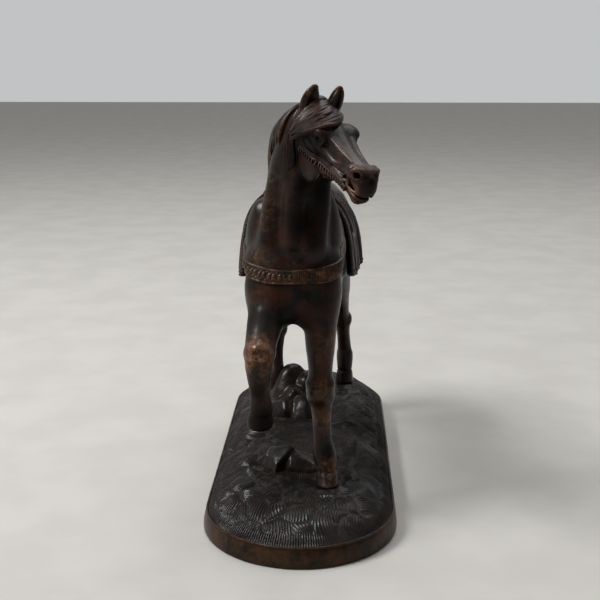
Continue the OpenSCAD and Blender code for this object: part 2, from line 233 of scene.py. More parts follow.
def cell_quads(inside, index):
    """One quad round each grid edge that the surface crosses, facing outwards."""
    quads = []
    for axis in range(3):
        here = np.moveaxis(inside, axis, 0)
        change = here[:-1, 1:-1, 1:-1] != here[1:, 1:-1, 1:-1]
        edges = np.argwhere(change) + np.array([0, 1, 1])
        ring = np.moveaxis(index, axis, 0)
        corners = [ring[edges[:, 0], edges[:, 1] + j, edges[:, 2] + k]
                   for j, k in ((-1, -1), (0, -1), (0, 0), (-1, 0))]
        quad = np.stack(corners, axis=1)
        leaving = here[edges[:, 0], edges[:, 1], edges[:, 2]] != (axis == 1)
        quads.append(np.where(leaving[:, None], quad, quad[:, ::-1]))
    return np.concatenate(quads)


def unit(vectors):
    """Vectors of length 1 along the given ones."""
    return vectors / np.maximum(np.linalg.norm(vectors, axis=-1, keepdims=True), 1e-9)


def march(field, starts, directions, reach=70, step=0.5):
    """Where rays that start inside a casting first leave it."""
    t = np.zeros(len(starts))
    done = np.zeros(len(starts), bool)
    last = field.sample(starts)
    for distance in np.arange(step, reach, step):
        here = field.sample(starts + directions * distance)
        leaving = ~done & (last < 0) & (here >= 0)
        t[leaving] = distance - step * here[leaving] / (here[leaving] - last[leaving])
        done |= leaving
        last = here
    return starts + directions * t[:, None]


# ---------- Stations and curves ----------

def spline(points, steps):
    """A smooth curve through rows of numbers, with so many steps between neighbouring rows."""
    rows = np.asarray(points, float)
    rows = np.vstack([2 * rows[0] - rows[1], rows, 2 * rows[-1] - rows[-2]])
    out = []
    for i in range(1, len(rows) - 2):
        before, a, b, after = rows[i - 1:i + 3]
        for t in np.arange(steps) / steps:
            out.append(0.5 * (2 * a + (b - before) * t
                              + (2 * before - 5 * a + 4 * b - after) * t ** 2
                              + (3 * (a - b) + after - before) * t ** 3))
    out.append(rows[-2])
    return np.array(out)


def sweep(stations, spacing, place=None):
    """Ellipsoids along stations of [x, y, z, half width, half length, half height].
    place moves them from their own frame: a matrix, an origin and a scale."""
    turn, origin, size = place if place else (None, np.zeros(3), 1)
    stations = np.asarray(stations, float)
    gaps = np.linalg.norm(np.diff(stations[:, :3], axis=0), axis=1) * size
    steps = max(1, math.ceil(gaps.max() / spacing))
    shapes = []
    for row in spline(stations, steps):
        centre = row[:3] * size if turn is None else turn @ (row[:3] * size)
        radii = np.maximum(row[3:] * size, 0.05)
        shapes.append(ellipsoid(centre + origin, radii, turn))
    return shapes


def on_ground(stations):
    """Stations whose third value is a height above the ground, in the frame's height."""
    return np.asarray(stations, float) + np.array([0, 0, GROUND, 0, 0, 0])


def bars(points, radii):
    """A chain of round bars through points, with the radii spread evenly along it."""
    spread = np.linspace(0, 1, len(radii))
    radii = np.interp(np.linspace(0, 1, len(points)), spread, radii)
    return [cone(a, b, ra, rb) for a, b, ra, rb in zip(points, points[1:], radii, radii[1:])]


# ---------- The horse's body ----------

# Stations of [x, y, height above the ground, half width, half length, half height]
TRUNK = [
    [-6, -80, 133, 25, 17, 31],
    [-5, -62, 136, 28, 20, 36],
    [-4.5, -40, 134, 29, 22, 39],
    [-4, -14, 129, 30.5, 24, 39],
    [-3, 14, 130, 30, 24, 36],
    [-1.5, 36, 133, 30, 24, 34],
    [-0.5, 56, 134, 31.5, 24, 34],
]
BREAST = [
    [-20, -79, 115, 13.5, 16, 20],
    [-5, -80, 116, 13.5, 17, 19],
    [10, -78, 115, 13.5, 16, 20],
]
NECK = [
    [-5, -64, 149, 22, 25, 24],
    [-1.5, -73, 171, 19.5, 22, 18],
    [-2, -79, 189, 17, 19, 14],
    [-0.5, -84, 204, 15, 17, 12],
    [4, -88, 217, 13, 14, 10],
    [9, -93, 223, 11, 11, 8],
]
LEFT_FORELEG = [
    [9, -78, 124, 13, 17, 17],
    [11.5, -81, 103, 10.5, 14, 10],
    [11.8, -85, 86, 9.2, 11.5, 8],
    [12, -89, 70, 7.4, 8.6, 7],
    [12, -91, 58, 8.8, 8.8, 6.5],
    [12.6, -90, 47, 6.6, 7.2, 5],
    [13, -90, 36, 5.8, 6.6, 5],
    [13.6, -90, 25, 6.0, 6.8, 5],
    [15, -91, 15, 7.3, 7.8, 4.5],
    [16.2, -94.5, 8.5, 5.8, 6.6, 3],
]
LEFT_FORE_HOOF = [
    [16.4, -95.5, 6.2, 6.3, 7.6, 1.6],
    [17, -98, 0.4, 7.2, 9.8, 1.6],
]
RIGHT_FORELEG = [
    [-15, -78, 124, 13, 17, 17],
    [-19.5, -90, 107, 11.8, 13, 11],
    [-22, -106, 96, 9.8, 10, 8.5],
    [-23, -116, 87, 8.8, 8.8, 8.2],
    [-23.5, -115.5, 77, 7.6, 7.4, 5.5],
    [-23.2, -113, 65, 6.3, 6.4, 5],
    [-22.8, -111, 57, 6.8, 6.8, 4.6],
    [-22.8, -109, 50.5, 6.9, 7.1, 4.2],
]
RIGHT_FORE_HOOF = [
    [-23.2, -107.5, 49.5, 6.5, 6.9, 3],
    [-23.5, -106.8, 44.5, 8.0, 8.3, 3.5],
    [-23.8, -106.2, 41, 7.8, 8.3, 4],
]
LEFT_HIND = [
    [13, 54, 122, 17, 24, 24],
    [18, 62, 103, 13, 19, 14],
    [22.5, 74, 88, 9.2, 13.5, 9],
    [24.5, 86, 74, 6.6, 9.6, 7.5],
    [25.6, 94.5, 61, 5.6, 8.2, 6],
    [26.2, 98.5, 52, 6.3, 8.0, 5.5],
    [27, 102, 41, 5.2, 6.2, 5],
    [28, 106, 29, 5.6, 6.4, 5],
    [28.4, 106.5, 21, 6.6, 7.6, 4.5],
    [28.4, 104.5, 12, 6, 6.8, 4.5],
]
LEFT_HIND_HOOF = [
    [28.4, 104.6, 8.4, 6.3, 7.4, 2],
    [28.4, 105.6, 0.4, 7.2, 9.8, 1.6],
]
RIGHT_HIND = [
    [-17, 50, 122, 16, 24, 24],
    [-20.5, 52, 103, 13, 18, 14],
    [-22.8, 60, 88, 9.2, 13.5, 9],
    [-23.4, 68.5, 74, 6.6, 10, 7.5],
    [-23.6, 69.5, 61, 5.6, 8.2, 6],
    [-23.7, 67.5, 52, 6.3, 8.0, 5.5],
    [-24, 63, 39, 5.2, 6.2, 5],
    [-24.2, 59.5, 29, 5.6, 6.4, 5],
    [-24.3, 56, 21, 6.6, 7.6, 4.5],
    [-24.3, 52, 12, 6, 6.8, 4.5],
]
RIGHT_HIND_HOOF = [
    [-24.4, 51, 8.4, 6.3, 7.4, 2],
    [-24.5, 49.8, 0.4, 7.2, 9.8, 1.6],
]
TAIL = [
    [-1.5, 78, 156, 6, 6, 6],
    [-1.5, 88, 158, 5.6, 6.4, 5.6],
    [-1.5, 98, 148, 5.6, 6.2, 7],
    [-1, 106, 124, 6.6, 7, 10],
    [0, 109.5, 94, 7.6, 7.4, 10],
    [1, 106, 66, 6, 6, 10],
    [1, 101, 47, 2, 2.4, 6],
]

# Muscles of both sides: [distance from the middle, y, height, half width, half length,
# half height, lean about X in degrees, blend]
FRONT_MIDDLE = -5
FRONT_MUSCLES = [
    [20.5, -64, 146, 8, 13, 27, 24, 9],      # shoulder blade
    [18, -84, 122, 9.5, 9, 12, 0, 7],        # point of the shoulder
    [8, -89, 109, 8, 8, 12, 0, 5],           # breast muscle
    [21, -60, 119, 8, 16, 11, 12, 8],        # upper arm
    [21, -80, 137, 8, 8, 6, 12, 6],          # shelf above the point of the shoulder
    [17, -61, 107, 5, 7, 7, 0, 8],           # elbow
]
REAR_MIDDLE = -1
REAR_MUSCLES = [
    [21, 42, 156, 7, 10, 7, 0, 9],           # point of the hip
    [10, 60, 157, 13, 20, 11, 0, 9],         # croup
    [22, 62, 132, 11, 20, 24, 20, 9],        # haunch
    [11, 76, 134, 11, 10, 21, 0, 9],         # buttock
    [23, 38, 110, 8, 10, 12, -14, 8],        # stifle
]
FLANKS = [
    [33, 27, 130, 6, 9, 17, 14, 7],          # hollow in front of the haunch
    [32, -36, 112, 5, 4, 11, 10, 6],         # hollow behind the upper arm
]

# The joint at the poll: the head's own frame has its muzzle towards -Y and forehead towards +Z
POLL = np.array([9.5, -97, 224 + GROUND])
HEAD_L = 72
HEAD_TURN = np.array(Euler((math.radians(23), math.radians(4), math.radians(30)), "XYZ").to_matrix())
HEAD_PLACE = (HEAD_TURN, POLL, HEAD_L)


def in_head(*points):
    """Points given in head lengths, moved into the row frame."""
    return [POLL + HEAD_TURN @ (np.asarray(p, float) * HEAD_L) for p in points]


def lean(degrees):
    """The matrix of a turn about X, which takes +Y towards +Z."""
    c, s = math.cos(math.radians(degrees)), math.sin(math.radians(degrees))
    return np.array([[1, 0, 0], [0, c, -s], [0, s, c]])


def muscle(side, middle, row):
    """The muscle of a row, on one side of the middle."""
    out, y, h, rx, ry, rz, tilt, _ = row
    return ellipsoid([middle + side * out, y, h + GROUND], [rx, ry, rz], lean(tilt))


def sculpt_trunk(field):
    """The barrel, the breast and the neck, with the muscles and hollows of both sides."""
    field.add(sweep(on_ground(TRUNK), 3))
    field.add(sweep(on_ground(BREAST), 3), 6)
    field.add(sweep(on_ground(NECK), 2.4), 9)
    for side in (-1, 1):
        for row in FRONT_MUSCLES:
            field.add([muscle(side, FRONT_MIDDLE, row)], row[-1])
        for row in REAR_MUSCLES:
            field.add([muscle(side, REAR_MIDDLE, row)], row[-1])
        for row in FLANKS:
            field.cut([muscle(side, FRONT_MIDDLE + 1, row)], row[-1])
    # The furrow down the middle of the breast, and the one between the buttocks
    field.cut(bars(np.array([[-5, -100, 88], [-5, -104, 118]]) + [0, 0, GROUND], [2.5, 1]), 5)
    field.cut(bars(np.array([[-1, 90, 100], [-1, 91, 146]]) + [0, 0, GROUND], [4, 2]), 6)


def sculpt_neck(field):
    """What shows under the skin of the neck: windpipe, side muscles, mould seam and crest."""
    windpipe = spline([[-4, -94, 152], [-3, -96, 172], [-0.5, -96, 187], [3, -90, 200]], 6)
    field.add(bars(windpipe + [0, 0, GROUND], [7, 5]), 6)
    for side in (-1, 1):
        strap_muscle = spline([[-5 + 13 * side, -88, 146], [-3 + 14 * side, -88, 170],
                               [12.5 * side, -86, 190], [4 + 9 * side, -84, 207]], 6)
        field.add(bars(strap_muscle + [0, 0, GROUND], [7, 4]), 5)
    # The thin line left by the mould down the front of the neck
    inside = spline([[-2.5, -76, 137], [-0.6, -76, 150], [0.2, -76, 172]], 8) + [0, 0, GROUND]
    seam = march(field, inside, np.broadcast_to([0, -1.0, 0], inside.shape), 45)
    field.add(bars(seam, [0.75, 0.75]), 0.8)
    # Crest along the top of the neck
    crest = spline([[-5, -46, 176], [-3, -52, 190], [-1, -60, 206], [4, -74, 222], [8.5, -86, 229]], 6)
    field.add(bars(crest + [0, 0, GROUND], [6, 4.5]), 9)


def sculpt_knee(field, x, y, h):
    """The bones of a forward knee joint: a flat front, a knob behind and a rim above and below."""
    z = h + GROUND
    field.add([ellipsoid([x, y - 4.5, z], [6.2, 4.2, 6.6])], 3)
    field.add([ellipsoid([x + 0.5, y + 7, z + 1.5], [3.2, 3.6, 4.4])], 3)
    for side in (-1, 1):
        field.add([ellipsoid([x + 6 * side, y - 1, z + 4.5], [2.6, 3.6, 2.6])], 2)
        field.add([ellipsoid([x + 5.6 * side, y - 1, z - 4.5], [2.2, 3.4, 2.2])], 2)


def sculpt_tendon(field, line, back):
    """Furrows either side between the cannon bone and the tendon behind it."""
    points = np.asarray(line, float) + [0, 0, GROUND]
    for side in (-1, 1):
        offset = np.array([6.4 * side, back, 0])
        field.cut(bars(spline(points + offset, 4), [1.3, 1.3]), 2.2)


def sculpt_hoof(field, stations, ergot):
    """A hoof wall below its coronet, on a pastern, with the small knob behind the fetlock."""
    field.add(sweep(on_ground(stations), 0.8), 1.1)
    field.add([ellipsoid([ergot[0], ergot[1], ergot[2] + GROUND], [3.2, 2.8, 3.4])], 2.5)


def sculpt_legs(field):
    """The four legs with their joints, tendons and hooves."""
    for line in (LEFT_FORELEG, RIGHT_FORELEG, LEFT_HIND, RIGHT_HIND):
        field.add(sweep(on_ground(line), 1.4), 6)
    sculpt_knee(field, 12, -91, 58)
    field.add([ellipsoid([-23.4, -119.5, 89 + GROUND], [6.4, 5, 7], lean(24))], 3)
    for side in (-1, 1):
        field.add([ellipsoid([-23.2 + 6.2 * side, -115, 88 + GROUND], [2.8, 4, 3.4])], 2.4)
        field.add([ellipsoid([-23.4 + 5 * side, -115.5, 80 + GROUND], [2.2, 3.6, 2.6])], 2)
    # Hocks: the point behind, the cord that runs down to it, and the ridge of the joint
    for x, y, back in ((26, 98.5, 22), (-23.6, 68.5, 6)):
        lift = 0 if x > 0 else -0.5
        point = np.array([x, y + 9.6, 60 + GROUND])
        field.add(bars(np.array([point + [-1, -back, 24], point + [-0.4, -0.5 * back, 10], point]),
                       [3.2, 2.2, 2.6]), 3)
        field.add([ellipsoid(point + [0, -2.2, -4 + lift], [3.6, 4.2, 7])], 3)
        for side in (-1, 1):
            field.add([ellipsoid([x + 5 * side, y - 1, 54 + GROUND], [2.6, 4.6, 4.6])], 2.4)
    sculpt_tendon(field, [[12.6, -90, 49], [13, -90, 36], [13.6, -90, 26]], 2)
    sculpt_tendon(field, [[-23.3, -114, 74], [-23.2, -113, 65], [-22.9, -111, 59]], 1.6)
    sculpt_tendon(field, [[26.6, 101, 46], [27.4, 104, 36], [28, 106, 27]], 2)
    sculpt_tendon(field, [[-23.8, 65, 46], [-24.1, 61, 36], [-24.2, 58.5, 27]], 2)
    sculpt_hoof(field, LEFT_FORE_HOOF, [14.8, -84.5, 15])
    sculpt_hoof(field, RIGHT_FORE_HOOF, [-22.8, -103, 51])
    sculpt_hoof(field, LEFT_HIND_HOOF, [28.3, 112.5, 21])
    sculpt_hoof(field, RIGHT_HIND_HOOF, [-24.3, 62, 21.5])
    # Sole of the lifted hoof: hollow, with the frog in its middle
    field.cut([ellipsoid([-24, -105.8, 36.6 + GROUND], [6.6, 7, 2.2])], 0.6)
    field.add(bars(np.array([[-24, -101, 38.2], [-24, -108, 38.2]]) + [0, 0, GROUND], [2, 0.8]), 0.6)


def sculpt_body(field):
    sculpt_trunk(field)
    sculpt_legs(field)
    sculpt_neck(field)


# ---------- The head, in head lengths ----------

SKULL = [
    [0, -0.02, -0.09, 0.105, 0.1, 0.125],
    [0, -0.15, -0.07, 0.135, 0.11, 0.145],
    [0, -0.3, -0.065, 0.145, 0.12, 0.142],
    [0, -0.45, -0.078, 0.112, 0.11, 0.118],
    [0, -0.6, -0.088, 0.088, 0.1, 0.096],
    [0, -0.75, -0.09, 0.08, 0.1, 0.09],
    [0, -0.87, -0.1, 0.084, 0.085, 0.1],
    [0, -0.935, -0.12, 0.08, 0.062, 0.094],
]
JAW = [
    [0, -0.11, -0.25, 0.092, 0.11, 0.14],
    [0, -0.24, -0.265, 0.098, 0.13, 0.145],
    [0, -0.45, -0.23, 0.074, 0.1, 0.085],
    [0, -0.63, -0.214, 0.058, 0.1, 0.058],
    [0, -0.78, -0.226, 0.06, 0.08, 0.052],
    [0, -0.87, -0.24, 0.062, 0.06, 0.05],
]


def mirrored(points, side):
    """Points of the left side taken to either side: 1 is left, -1 is right."""
    return np.asarray(points, float) * [side, 1, 1]


def head_blob(centre, radii, tilt=(0, 0, 0), side=1):
    """An ellipsoid of the head, tilted by degrees about each axis."""
    angles = [math.radians(a * b) for a, b in zip(tilt, (1, side, side))]
    turn = HEAD_TURN @ np.array(Euler(angles, "XYZ").to_matrix())
    return ellipsoid(in_head(mirrored(centre, side))[0], np.asarray(radii) * HEAD_L, turn)


def head_bars(points, radii, side=1):
    return bars(in_head(*mirrored(points, side)), np.asarray(radii) * HEAD_L)


def arc(centre, across, up, start, stop, steps=9):
    """Points of an ellipse round a centre, from one angle to another."""
    angles = np.radians(np.linspace(start, stop, steps))
    return [np.asarray(centre) + math.cos(a) * np.asarray(across) + math.sin(a) * np.asarray(up)
            for a in angles]


def sculpt_eye(field, side):
    """An eyeball between its lids, in a socket under the bone of the brow."""
    eye = np.array([0.122, -0.37, -0.04])
    outward = np.array([0.02, 0, 0])
    along = np.array([0.004, 0.052, 0.004])
    rise = np.array([0.004, 0, 0.033])
    field.add([head_blob([0.118, -0.325, 0.01], [0.07, 0.1, 0.06], side=side)], 3)
    field.add([head_blob([0.148, -0.345, 0.02], [0.045, 0.066, 0.034], side=side)], 1.6)
    field.cut([head_blob(eye + outward * 1.4, [0.03, 0.05, 0.034], side=side)], 1.2)
    field.add([head_blob(eye, [0.034, 0.037, 0.03], side=side)], 0.25)
    upper = arc(eye + outward * 1.2, along, rise, 8, 172)
    lower = arc(eye + outward * 1.1, along, rise * [1, 1, -0.85], 10, 170)
    brow = arc(eye + outward * 0.6 + [0, 0.004, 0.012], along * 1.35, rise * 1.35, 20, 160)
    field.add(head_bars(upper, [0.012, 0.011], side), 0.5)
    field.add(head_bars(lower, [0.0085, 0.0085], side), 0.5)
    field.add(head_bars(brow, [0.014, 0.014], side), 1.4)
    # Hollow of the temple
    field.cut([head_blob([0.092, -0.215, 0.045], [0.026, 0.045, 0.03], side=side)], 2.4)


def sculpt_nostril(field, side):
    """A flared nostril with a rim, and the fold behind it."""
    middle = np.array([0.076, -0.893, -0.05])
    field.add([head_blob([0.05, -0.88, -0.06], [0.05, 0.07, 0.062], side=side)], 1.8)
    field.add([head_blob([0.09, -0.845, -0.056], [0.034, 0.08, 0.052], (0, 0, -12), side)], 2)
    rim = arc(middle, [-0.034, -0.036, -0.004], [0.002, -0.004, 0.034], -80, 250, 18)
    field.add(head_bars(rim, [0.021, 0.013], side), 0.7)
    field.cut([head_blob(middle + [0.004, -0.006, 0], [0.03, 0.036, 0.024], (10, 0, 45), side)], 0.5)
    field.cut(head_bars([[0.098, -0.84, -0.03], [0.094, -0.815, -0.075], [0.09, -0.83, -0.115]],
                        [0.006, 0.01, 0.005], side), 1.4)


def sculpt_mouth(field):
    """The two lips, the slit between them, and the chin."""
    field.add([head_blob([0, -0.945, -0.148], [0.07, 0.05, 0.052])], 1.6)
    field.add([head_blob([0, -0.905, -0.236], [0.057, 0.056, 0.034])], 1.2)
    field.add([head_blob([0, -0.86, -0.272], [0.042, 0.05, 0.03])], 1.6)
    slit = []
    for t in np.linspace(0, 1, 13):
        slit.append(head_blob([0, -1.0 + 0.25 * t, -0.2 + 0.008 * t], [0.14, 0.03, 0.0135 - 0.009 * t]))
    field.cut(slit, 0.5)
    upper = spline([[0.03, -0.985, -0.178], [0.07, -0.935, -0.182],
                    [0.082, -0.86, -0.184], [0.078, -0.79, -0.184]], 3)
    lower = spline([[0.03, -0.955, -0.222], [0.056, -0.91, -0.222],
                    [0.066, -0.85, -0.214], [0.068, -0.79, -0.204]], 3)
    for side in (-1, 1):
        field.add(head_bars(upper, [0.012, 0.01], side), 0.7)
        field.add(head_bars(lower, [0.011, 0.009], side), 0.7)
        field.cut(head_bars([[0.085, -0.765, -0.17], [0.08, -0.752, -0.205]], [0.006, 0.006], side), 1)
        field.cut(head_bars([[0.05, -0.92, -0.256], [0.052, -0.84, -0.262]], [0.008, 0.006], side), 1.4)


def sculpt_cheek(field, side):
    """The flat disc of the cheek, and the bones, muscle and vein in front of it."""
    # Cheek: a flat disc with a clear rim behind and below
    field.add([head_blob([0.082, -0.165, -0.285], [0.055, 0.22, 0.175], (20, 0, 0), side)], 0.6)
    field.cut([head_blob([0.15, -0.2, -0.27], [0.018, 0.12, 0.11], (20, 0, 0), side)], 2.5)
    # Crest of the cheekbone running forward and fading out
    field.add(head_bars([[0.132, -0.4, -0.085], [0.1, -0.52, -0.118], [0.078, -0.64, -0.13]],
                        [0.022, 0.017, 0.008], side), 2)
    # Ridges along the bridge of the nose and the flat plane below each
    field.add(head_bars([[0.092, -0.41, 0.012], [0.07, -0.6, -0.018], [0.05, -0.82, -0.03]],
                        [0.026, 0.02, 0.014], side), 1.4)
    field.cut([head_blob([0.128, -0.57, -0.07], [0.025, 0.15, 0.034], (0, 0, -11), side)], 3)
    # Muscle to the corner of the lips, and a vein along the cheek
    field.add(head_bars([[0.075, -0.56, -0.175], [0.07, -0.7, -0.18], [0.072, -0.78, -0.175]],
                        [0.018, 0.016, 0.01], side), 1.6)
    vein = spline([[0.1, -0.47, -0.19], [0.1, -0.5, -0.15], [0.094, -0.58, -0.115],
                   [0.08, -0.66, -0.09]], 3)
    field.add(head_bars(vein, [0.008, 0.005], side), 0.8)


def sculpt_head(field):
    """The skull and the jaw, then the features of each side, then the mouth."""
    field.add(sweep(SKULL, 1.2, HEAD_PLACE), 3)
    field.add(sweep(JAW, 1.2, HEAD_PLACE), 3)
    field.cut(head_bars([[0, -0.4, -0.33], [0, -0.72, -0.285]], [0.03, 0.018]), 2.5)
    for side in (-1, 1):
        sculpt_cheek(field, side)
        sculpt_eye(field, side)
        sculpt_nostril(field, side)
    sculpt_mouth(field)


EAR = [
    [0.064, -0.012, -0.055, 0.05, 0.05, 0.05],
    [0.08, -0.01, 0, 0.052, 0.046, 0.05],
    [0.097, -0.005, 0.06, 0.066, 0.044, 0.05],
    [0.104, 0, 0.12, 0.068, 0.038, 0.05],
    [0.106, 0, 0.178, 0.056, 0.03, 0.045],
    [0.104, -0.002, 0.222, 0.034, 0.02, 0.03],
]
EAR_HOLLOW = [
    [0.084, -0.055, 0.045, 0.024, 0.028, 0.03],
    [0.09, -0.05, 0.1, 0.04, 0.034, 0.04],
    [0.094, -0.042, 0.155, 0.038, 0.028, 0.04],
    [0.098, -0.028, 0.205, 0.022, 0.018, 0.025],
]


def ear_side(rows, side):
    """Rows of the left ear turned to one side; the right ear leans inwards, the left stands up."""
    rows = np.array(rows, float)
    rows[:, 0] = side * (rows[:, 0] + 0.022) + (0.11 - 0.07 * side) * rows[:, 2]
    return rows


def sculpt_ear(field, side):
    """An ear: a leaf shape, hollow in front, with a rim along its inner edge."""
    field.add(sweep(ear_side(EAR, side), 0.5, HEAD_PLACE), 0.5)
    field.cut(sweep(ear_side(EAR_HOLLOW, side), 0.5, HEAD_PLACE), 0.4)
    rim = ear_side([[0.054, -0.04, 0.03], [0.044, -0.035, 0.09], [0.056, -0.032, 0.16],
                    [0.086, -0.02, 0.222]], side)
    field.add(head_bars(spline(rim, 4), [0.009, 0.009]), 0.5)


# ---------- Hair ----------

def lock(field, path, thick, sway, rng, blend=0.5):
    """One tapering lock of hair along a path, with a little sway of its own."""
    curve = spline(path, 5)
    t = np.linspace(0, 1, len(curve))
    phase = rng.uniform(0, 2 * math.pi)
    side = rng.normal(size=3)
    curve = curve + np.outer(np.sin(phase + 5 * t) * sway * t, side / np.linalg.norm(side))
    radii = thick * np.sin(np.pi * np.clip(0.3 + 0.7 * t, 0, 1)) ** 0.7 + 0.12
    field.add(bars(curve, radii), blend)


MANE = [
    [0, -84, 222, 8, 7, 7],
    [-8, -78, 213, 9, 8, 8],
    [-13, -73, 202, 7, 8.6, 9],
    [-16, -68, 190, 4.4, 8, 8],
    [-15, -63, 178, 2.2, 4, 6],
]


def sculpt_mane(field):
    """Locks that hang from the crest down the right side of the neck, in two layers."""
    rng = np.random.default_rng(11)
    field.add(sweep(on_ground(MANE), 1), 2)
    crest = spline([[9, -86, 231], [3, -76, 225.5], [-1, -66, 214], [-4, -58, 202], [-6, -52, 190]], 9)
    for i, root in enumerate(crest):
        share = i / (len(crest) - 1)
        for depth in (0, 1):
            lean_back = rng.uniform(-3, 3)
            drop = rng.uniform(17, 24) * (1 - 0.2 * share) + 6 * depth
            out = -20.5 + 7 * share - 1.2 * depth
            path = np.array([
                [0, 0, 0],
                [out * 0.5, -2.5 + lean_back * 0.3, -3],
                [out * 0.86, -4.5 + lean_back * 0.7, -drop * 0.5],
                [out, -5 + lean_back, -drop * 0.9],
                [out + 1.2, -3 + lean_back * 1.3, -drop * 1.25],
            ]) + root + [0, 0, GROUND]
            lock(field, path, 1.6 - 0.3 * depth, 1.2, rng, 0.3)


def sculpt_forelock(field):
    """Hair from between the ears, swept over the forehead and the right eye to a point."""
    rng = np.random.default_rng(5)
    front = np.array([[0.11, -0.1, 0.08], [0.07, -0.25, 0.095], [-0.03, -0.35, 0.095], [-0.14, -0.38, 0.075],
                      [-0.225, -0.28, -0.02], [-0.285, -0.13, -0.135]])
    rear = np.array([[0.045, 0.03, 0.09], [0.0, -0.01, 0.13], [-0.06, -0.035, 0.12], [-0.13, -0.03, 0.055],
                     [-0.19, -0.04, -0.03], [-0.25, -0.08, -0.13]])
    for layer_depth, count in ((0.03, 9), (0.012, 13), (0, 12)):
        for i in range(count):
            share = (i + 0.5 * (layer_depth == 0)) / (count - 0.5)
            path = rear + (front - rear) * share
            path = path - [0, 0, layer_depth]
            path[1:] += rng.normal(0, 0.005, path[1:].shape)
            path[-1] = path[-2] + (path[-1] - path[-2]) * rng.uniform(0.5, 1.15)
            lock(field, in_head(*path), 1.6 if layer_depth else 1.25, 0.4, rng, 0.2)


TAIL_LOCKS = 15


def sculpt_tail(field):
    """A core with locks wound round it, drawn together at the tip."""
    rng = np.random.default_rng(23)
    core = on_ground(TAIL)
    field.add(sweep(core * [1, 1, 1, 0.72, 0.72, 1], 1.2), 1)
    core = core[1:]
    for i in range(TAIL_LOCKS):
        angle = 2 * math.pi * i / TAIL_LOCKS
        reach = rng.uniform(0.76, 0.94)
        path = []
        for j, row in enumerate(core):
            turn = angle + 0.28 * j
            swell = reach if j < len(core) - 1 else 1.5
            path.append(row[:3] + [swell * row[3] * math.cos(turn), swell * row[4] * math.sin(turn), 0])
        path[-1] = path[-1] + [0, 0, rng.uniform(-4, 6)]
        lock(field, path, 2.1, 1.0, rng, 0.25)


# ---------- Meshes ----------

def placed(name, data):
    """An object of its own in the scene, round a mesh, a light or a camera."""
    thing = bpy.data.objects.new(name, data)
    bpy.context.scene.collection.objects.link(thing)
    return thing


def new_mesh(name, points, quads):
    """A smooth-shaded object from points in millimetres and rows of four point numbers."""
    mesh = bpy.data.meshes.new(name)
    mesh.vertices.add(len(points))
    mesh.vertices.foreach_set("co", (points * MM).astype(np.float32).ravel())
    mesh.loops.add(quads.size)
    mesh.loops.foreach_set("vertex_index", quads.astype(np.int32).ravel())
    mesh.polygons.add(len(quads))
    mesh.polygons.foreach_set("loop_start", np.arange(0, quads.size, 4, dtype=np.int32))
    mesh.update(calc_edges=True)
    mesh.validate()
    mesh.shade_smooth()
    return placed(name, mesh)


@contextmanager
def edited(piece):
    """Lends a piece's mesh for editing, and puts it back smooth-shaded."""
    bm = bmesh.new()
    bm.from_mesh(piece.data)
    yield bm
    bm.to_mesh(piece.data)
    bm.free()
    piece.data.shade_smooth()


def points_of(piece):
    """A piece's points in millimetres, one row each."""
    co = np.zeros(len(piece.data.vertices) * 3, np.float32)
    piece.data.vertices.foreach_get("co", co)
    return co.reshape(-1, 3).astype(float) / MM


def layer(piece, name, values):
    """Gives each point of a piece a number that its material can read by name."""
    attribute = piece.data.attributes.new(name, "FLOAT", "POINT")
    attribute.data.foreach_set("value", np.asarray(values, np.float32))


def ridge_layer(piece, relief, gain, level):
    """Marks what stands above a level of relief as ridge; points beyond the relief lie flat."""
    flat = np.zeros(len(piece.data.vertices) - relief.size)
    height = np.concatenate([relief.ravel(), flat])
    layer(piece, "ridge", np.clip(gain * (height - level), -1, 1))


def open_edges(bm):
    return [edge for edge in bm.edges if edge.is_boundary]


def split(piece, planes, keep):
    """Cuts a mesh along planes of (point, normal), keeps the faces whose middles keep() accepts
    and closes the openings."""
    with edited(piece) as bm:
        for point, normal in planes:
            bmesh.ops.bisect_plane(bm, geom=bm.verts[:] + bm.edges[:] + bm.faces[:], dist=1e-7,
                                   plane_co=Vector(np.asarray(point) * MM), plane_no=Vector(normal))
        middles = np.array([f.calc_center_median() for f in bm.faces]) / MM
        spare = [face for face, kept in zip(bm.faces, keep(middles)) if not kept]
        bmesh.ops.delete(bm, geom=spare, context="FACES")
        caps = bmesh.ops.holes_fill(bm, edges=open_edges(bm), sides=0)["faces"]
        bmesh.ops.triangulate(bm, faces=caps)


def side_of(point, normal):
    """A test for points on the side of a plane that its normal points to."""
    return lambda p: (p - np.asarray(point)) @ np.asarray(normal) > 0


def largest_island(quads, count):
    """The faces of the biggest connected piece of a mesh."""
    label = np.arange(count)
    while True:
        lowest = label[quads].min(axis=1)
        new = label.copy()
        for corner in range(4):
            np.minimum.at(new, quads[:, corner], lowest)
        new = new[new]
        if (new == label).all():
            break
        label = new
    faces_label = label[quads[:, 0]]
    names, sizes = np.unique(faces_label, return_counts=True)
    return quads[faces_label == names[sizes.argmax()]]


def compact(points, quads):
    """Drops the points that no face uses."""
    used, index = np.unique(quads, return_inverse=True)
    return points[used], index.reshape(quads.shape)


SMOOTHING_ROUNDS = 2
FINE_RIDGE, BROAD_RIDGE = 0.9, 2.5      # the sizes of edges and of folds, in millimetres


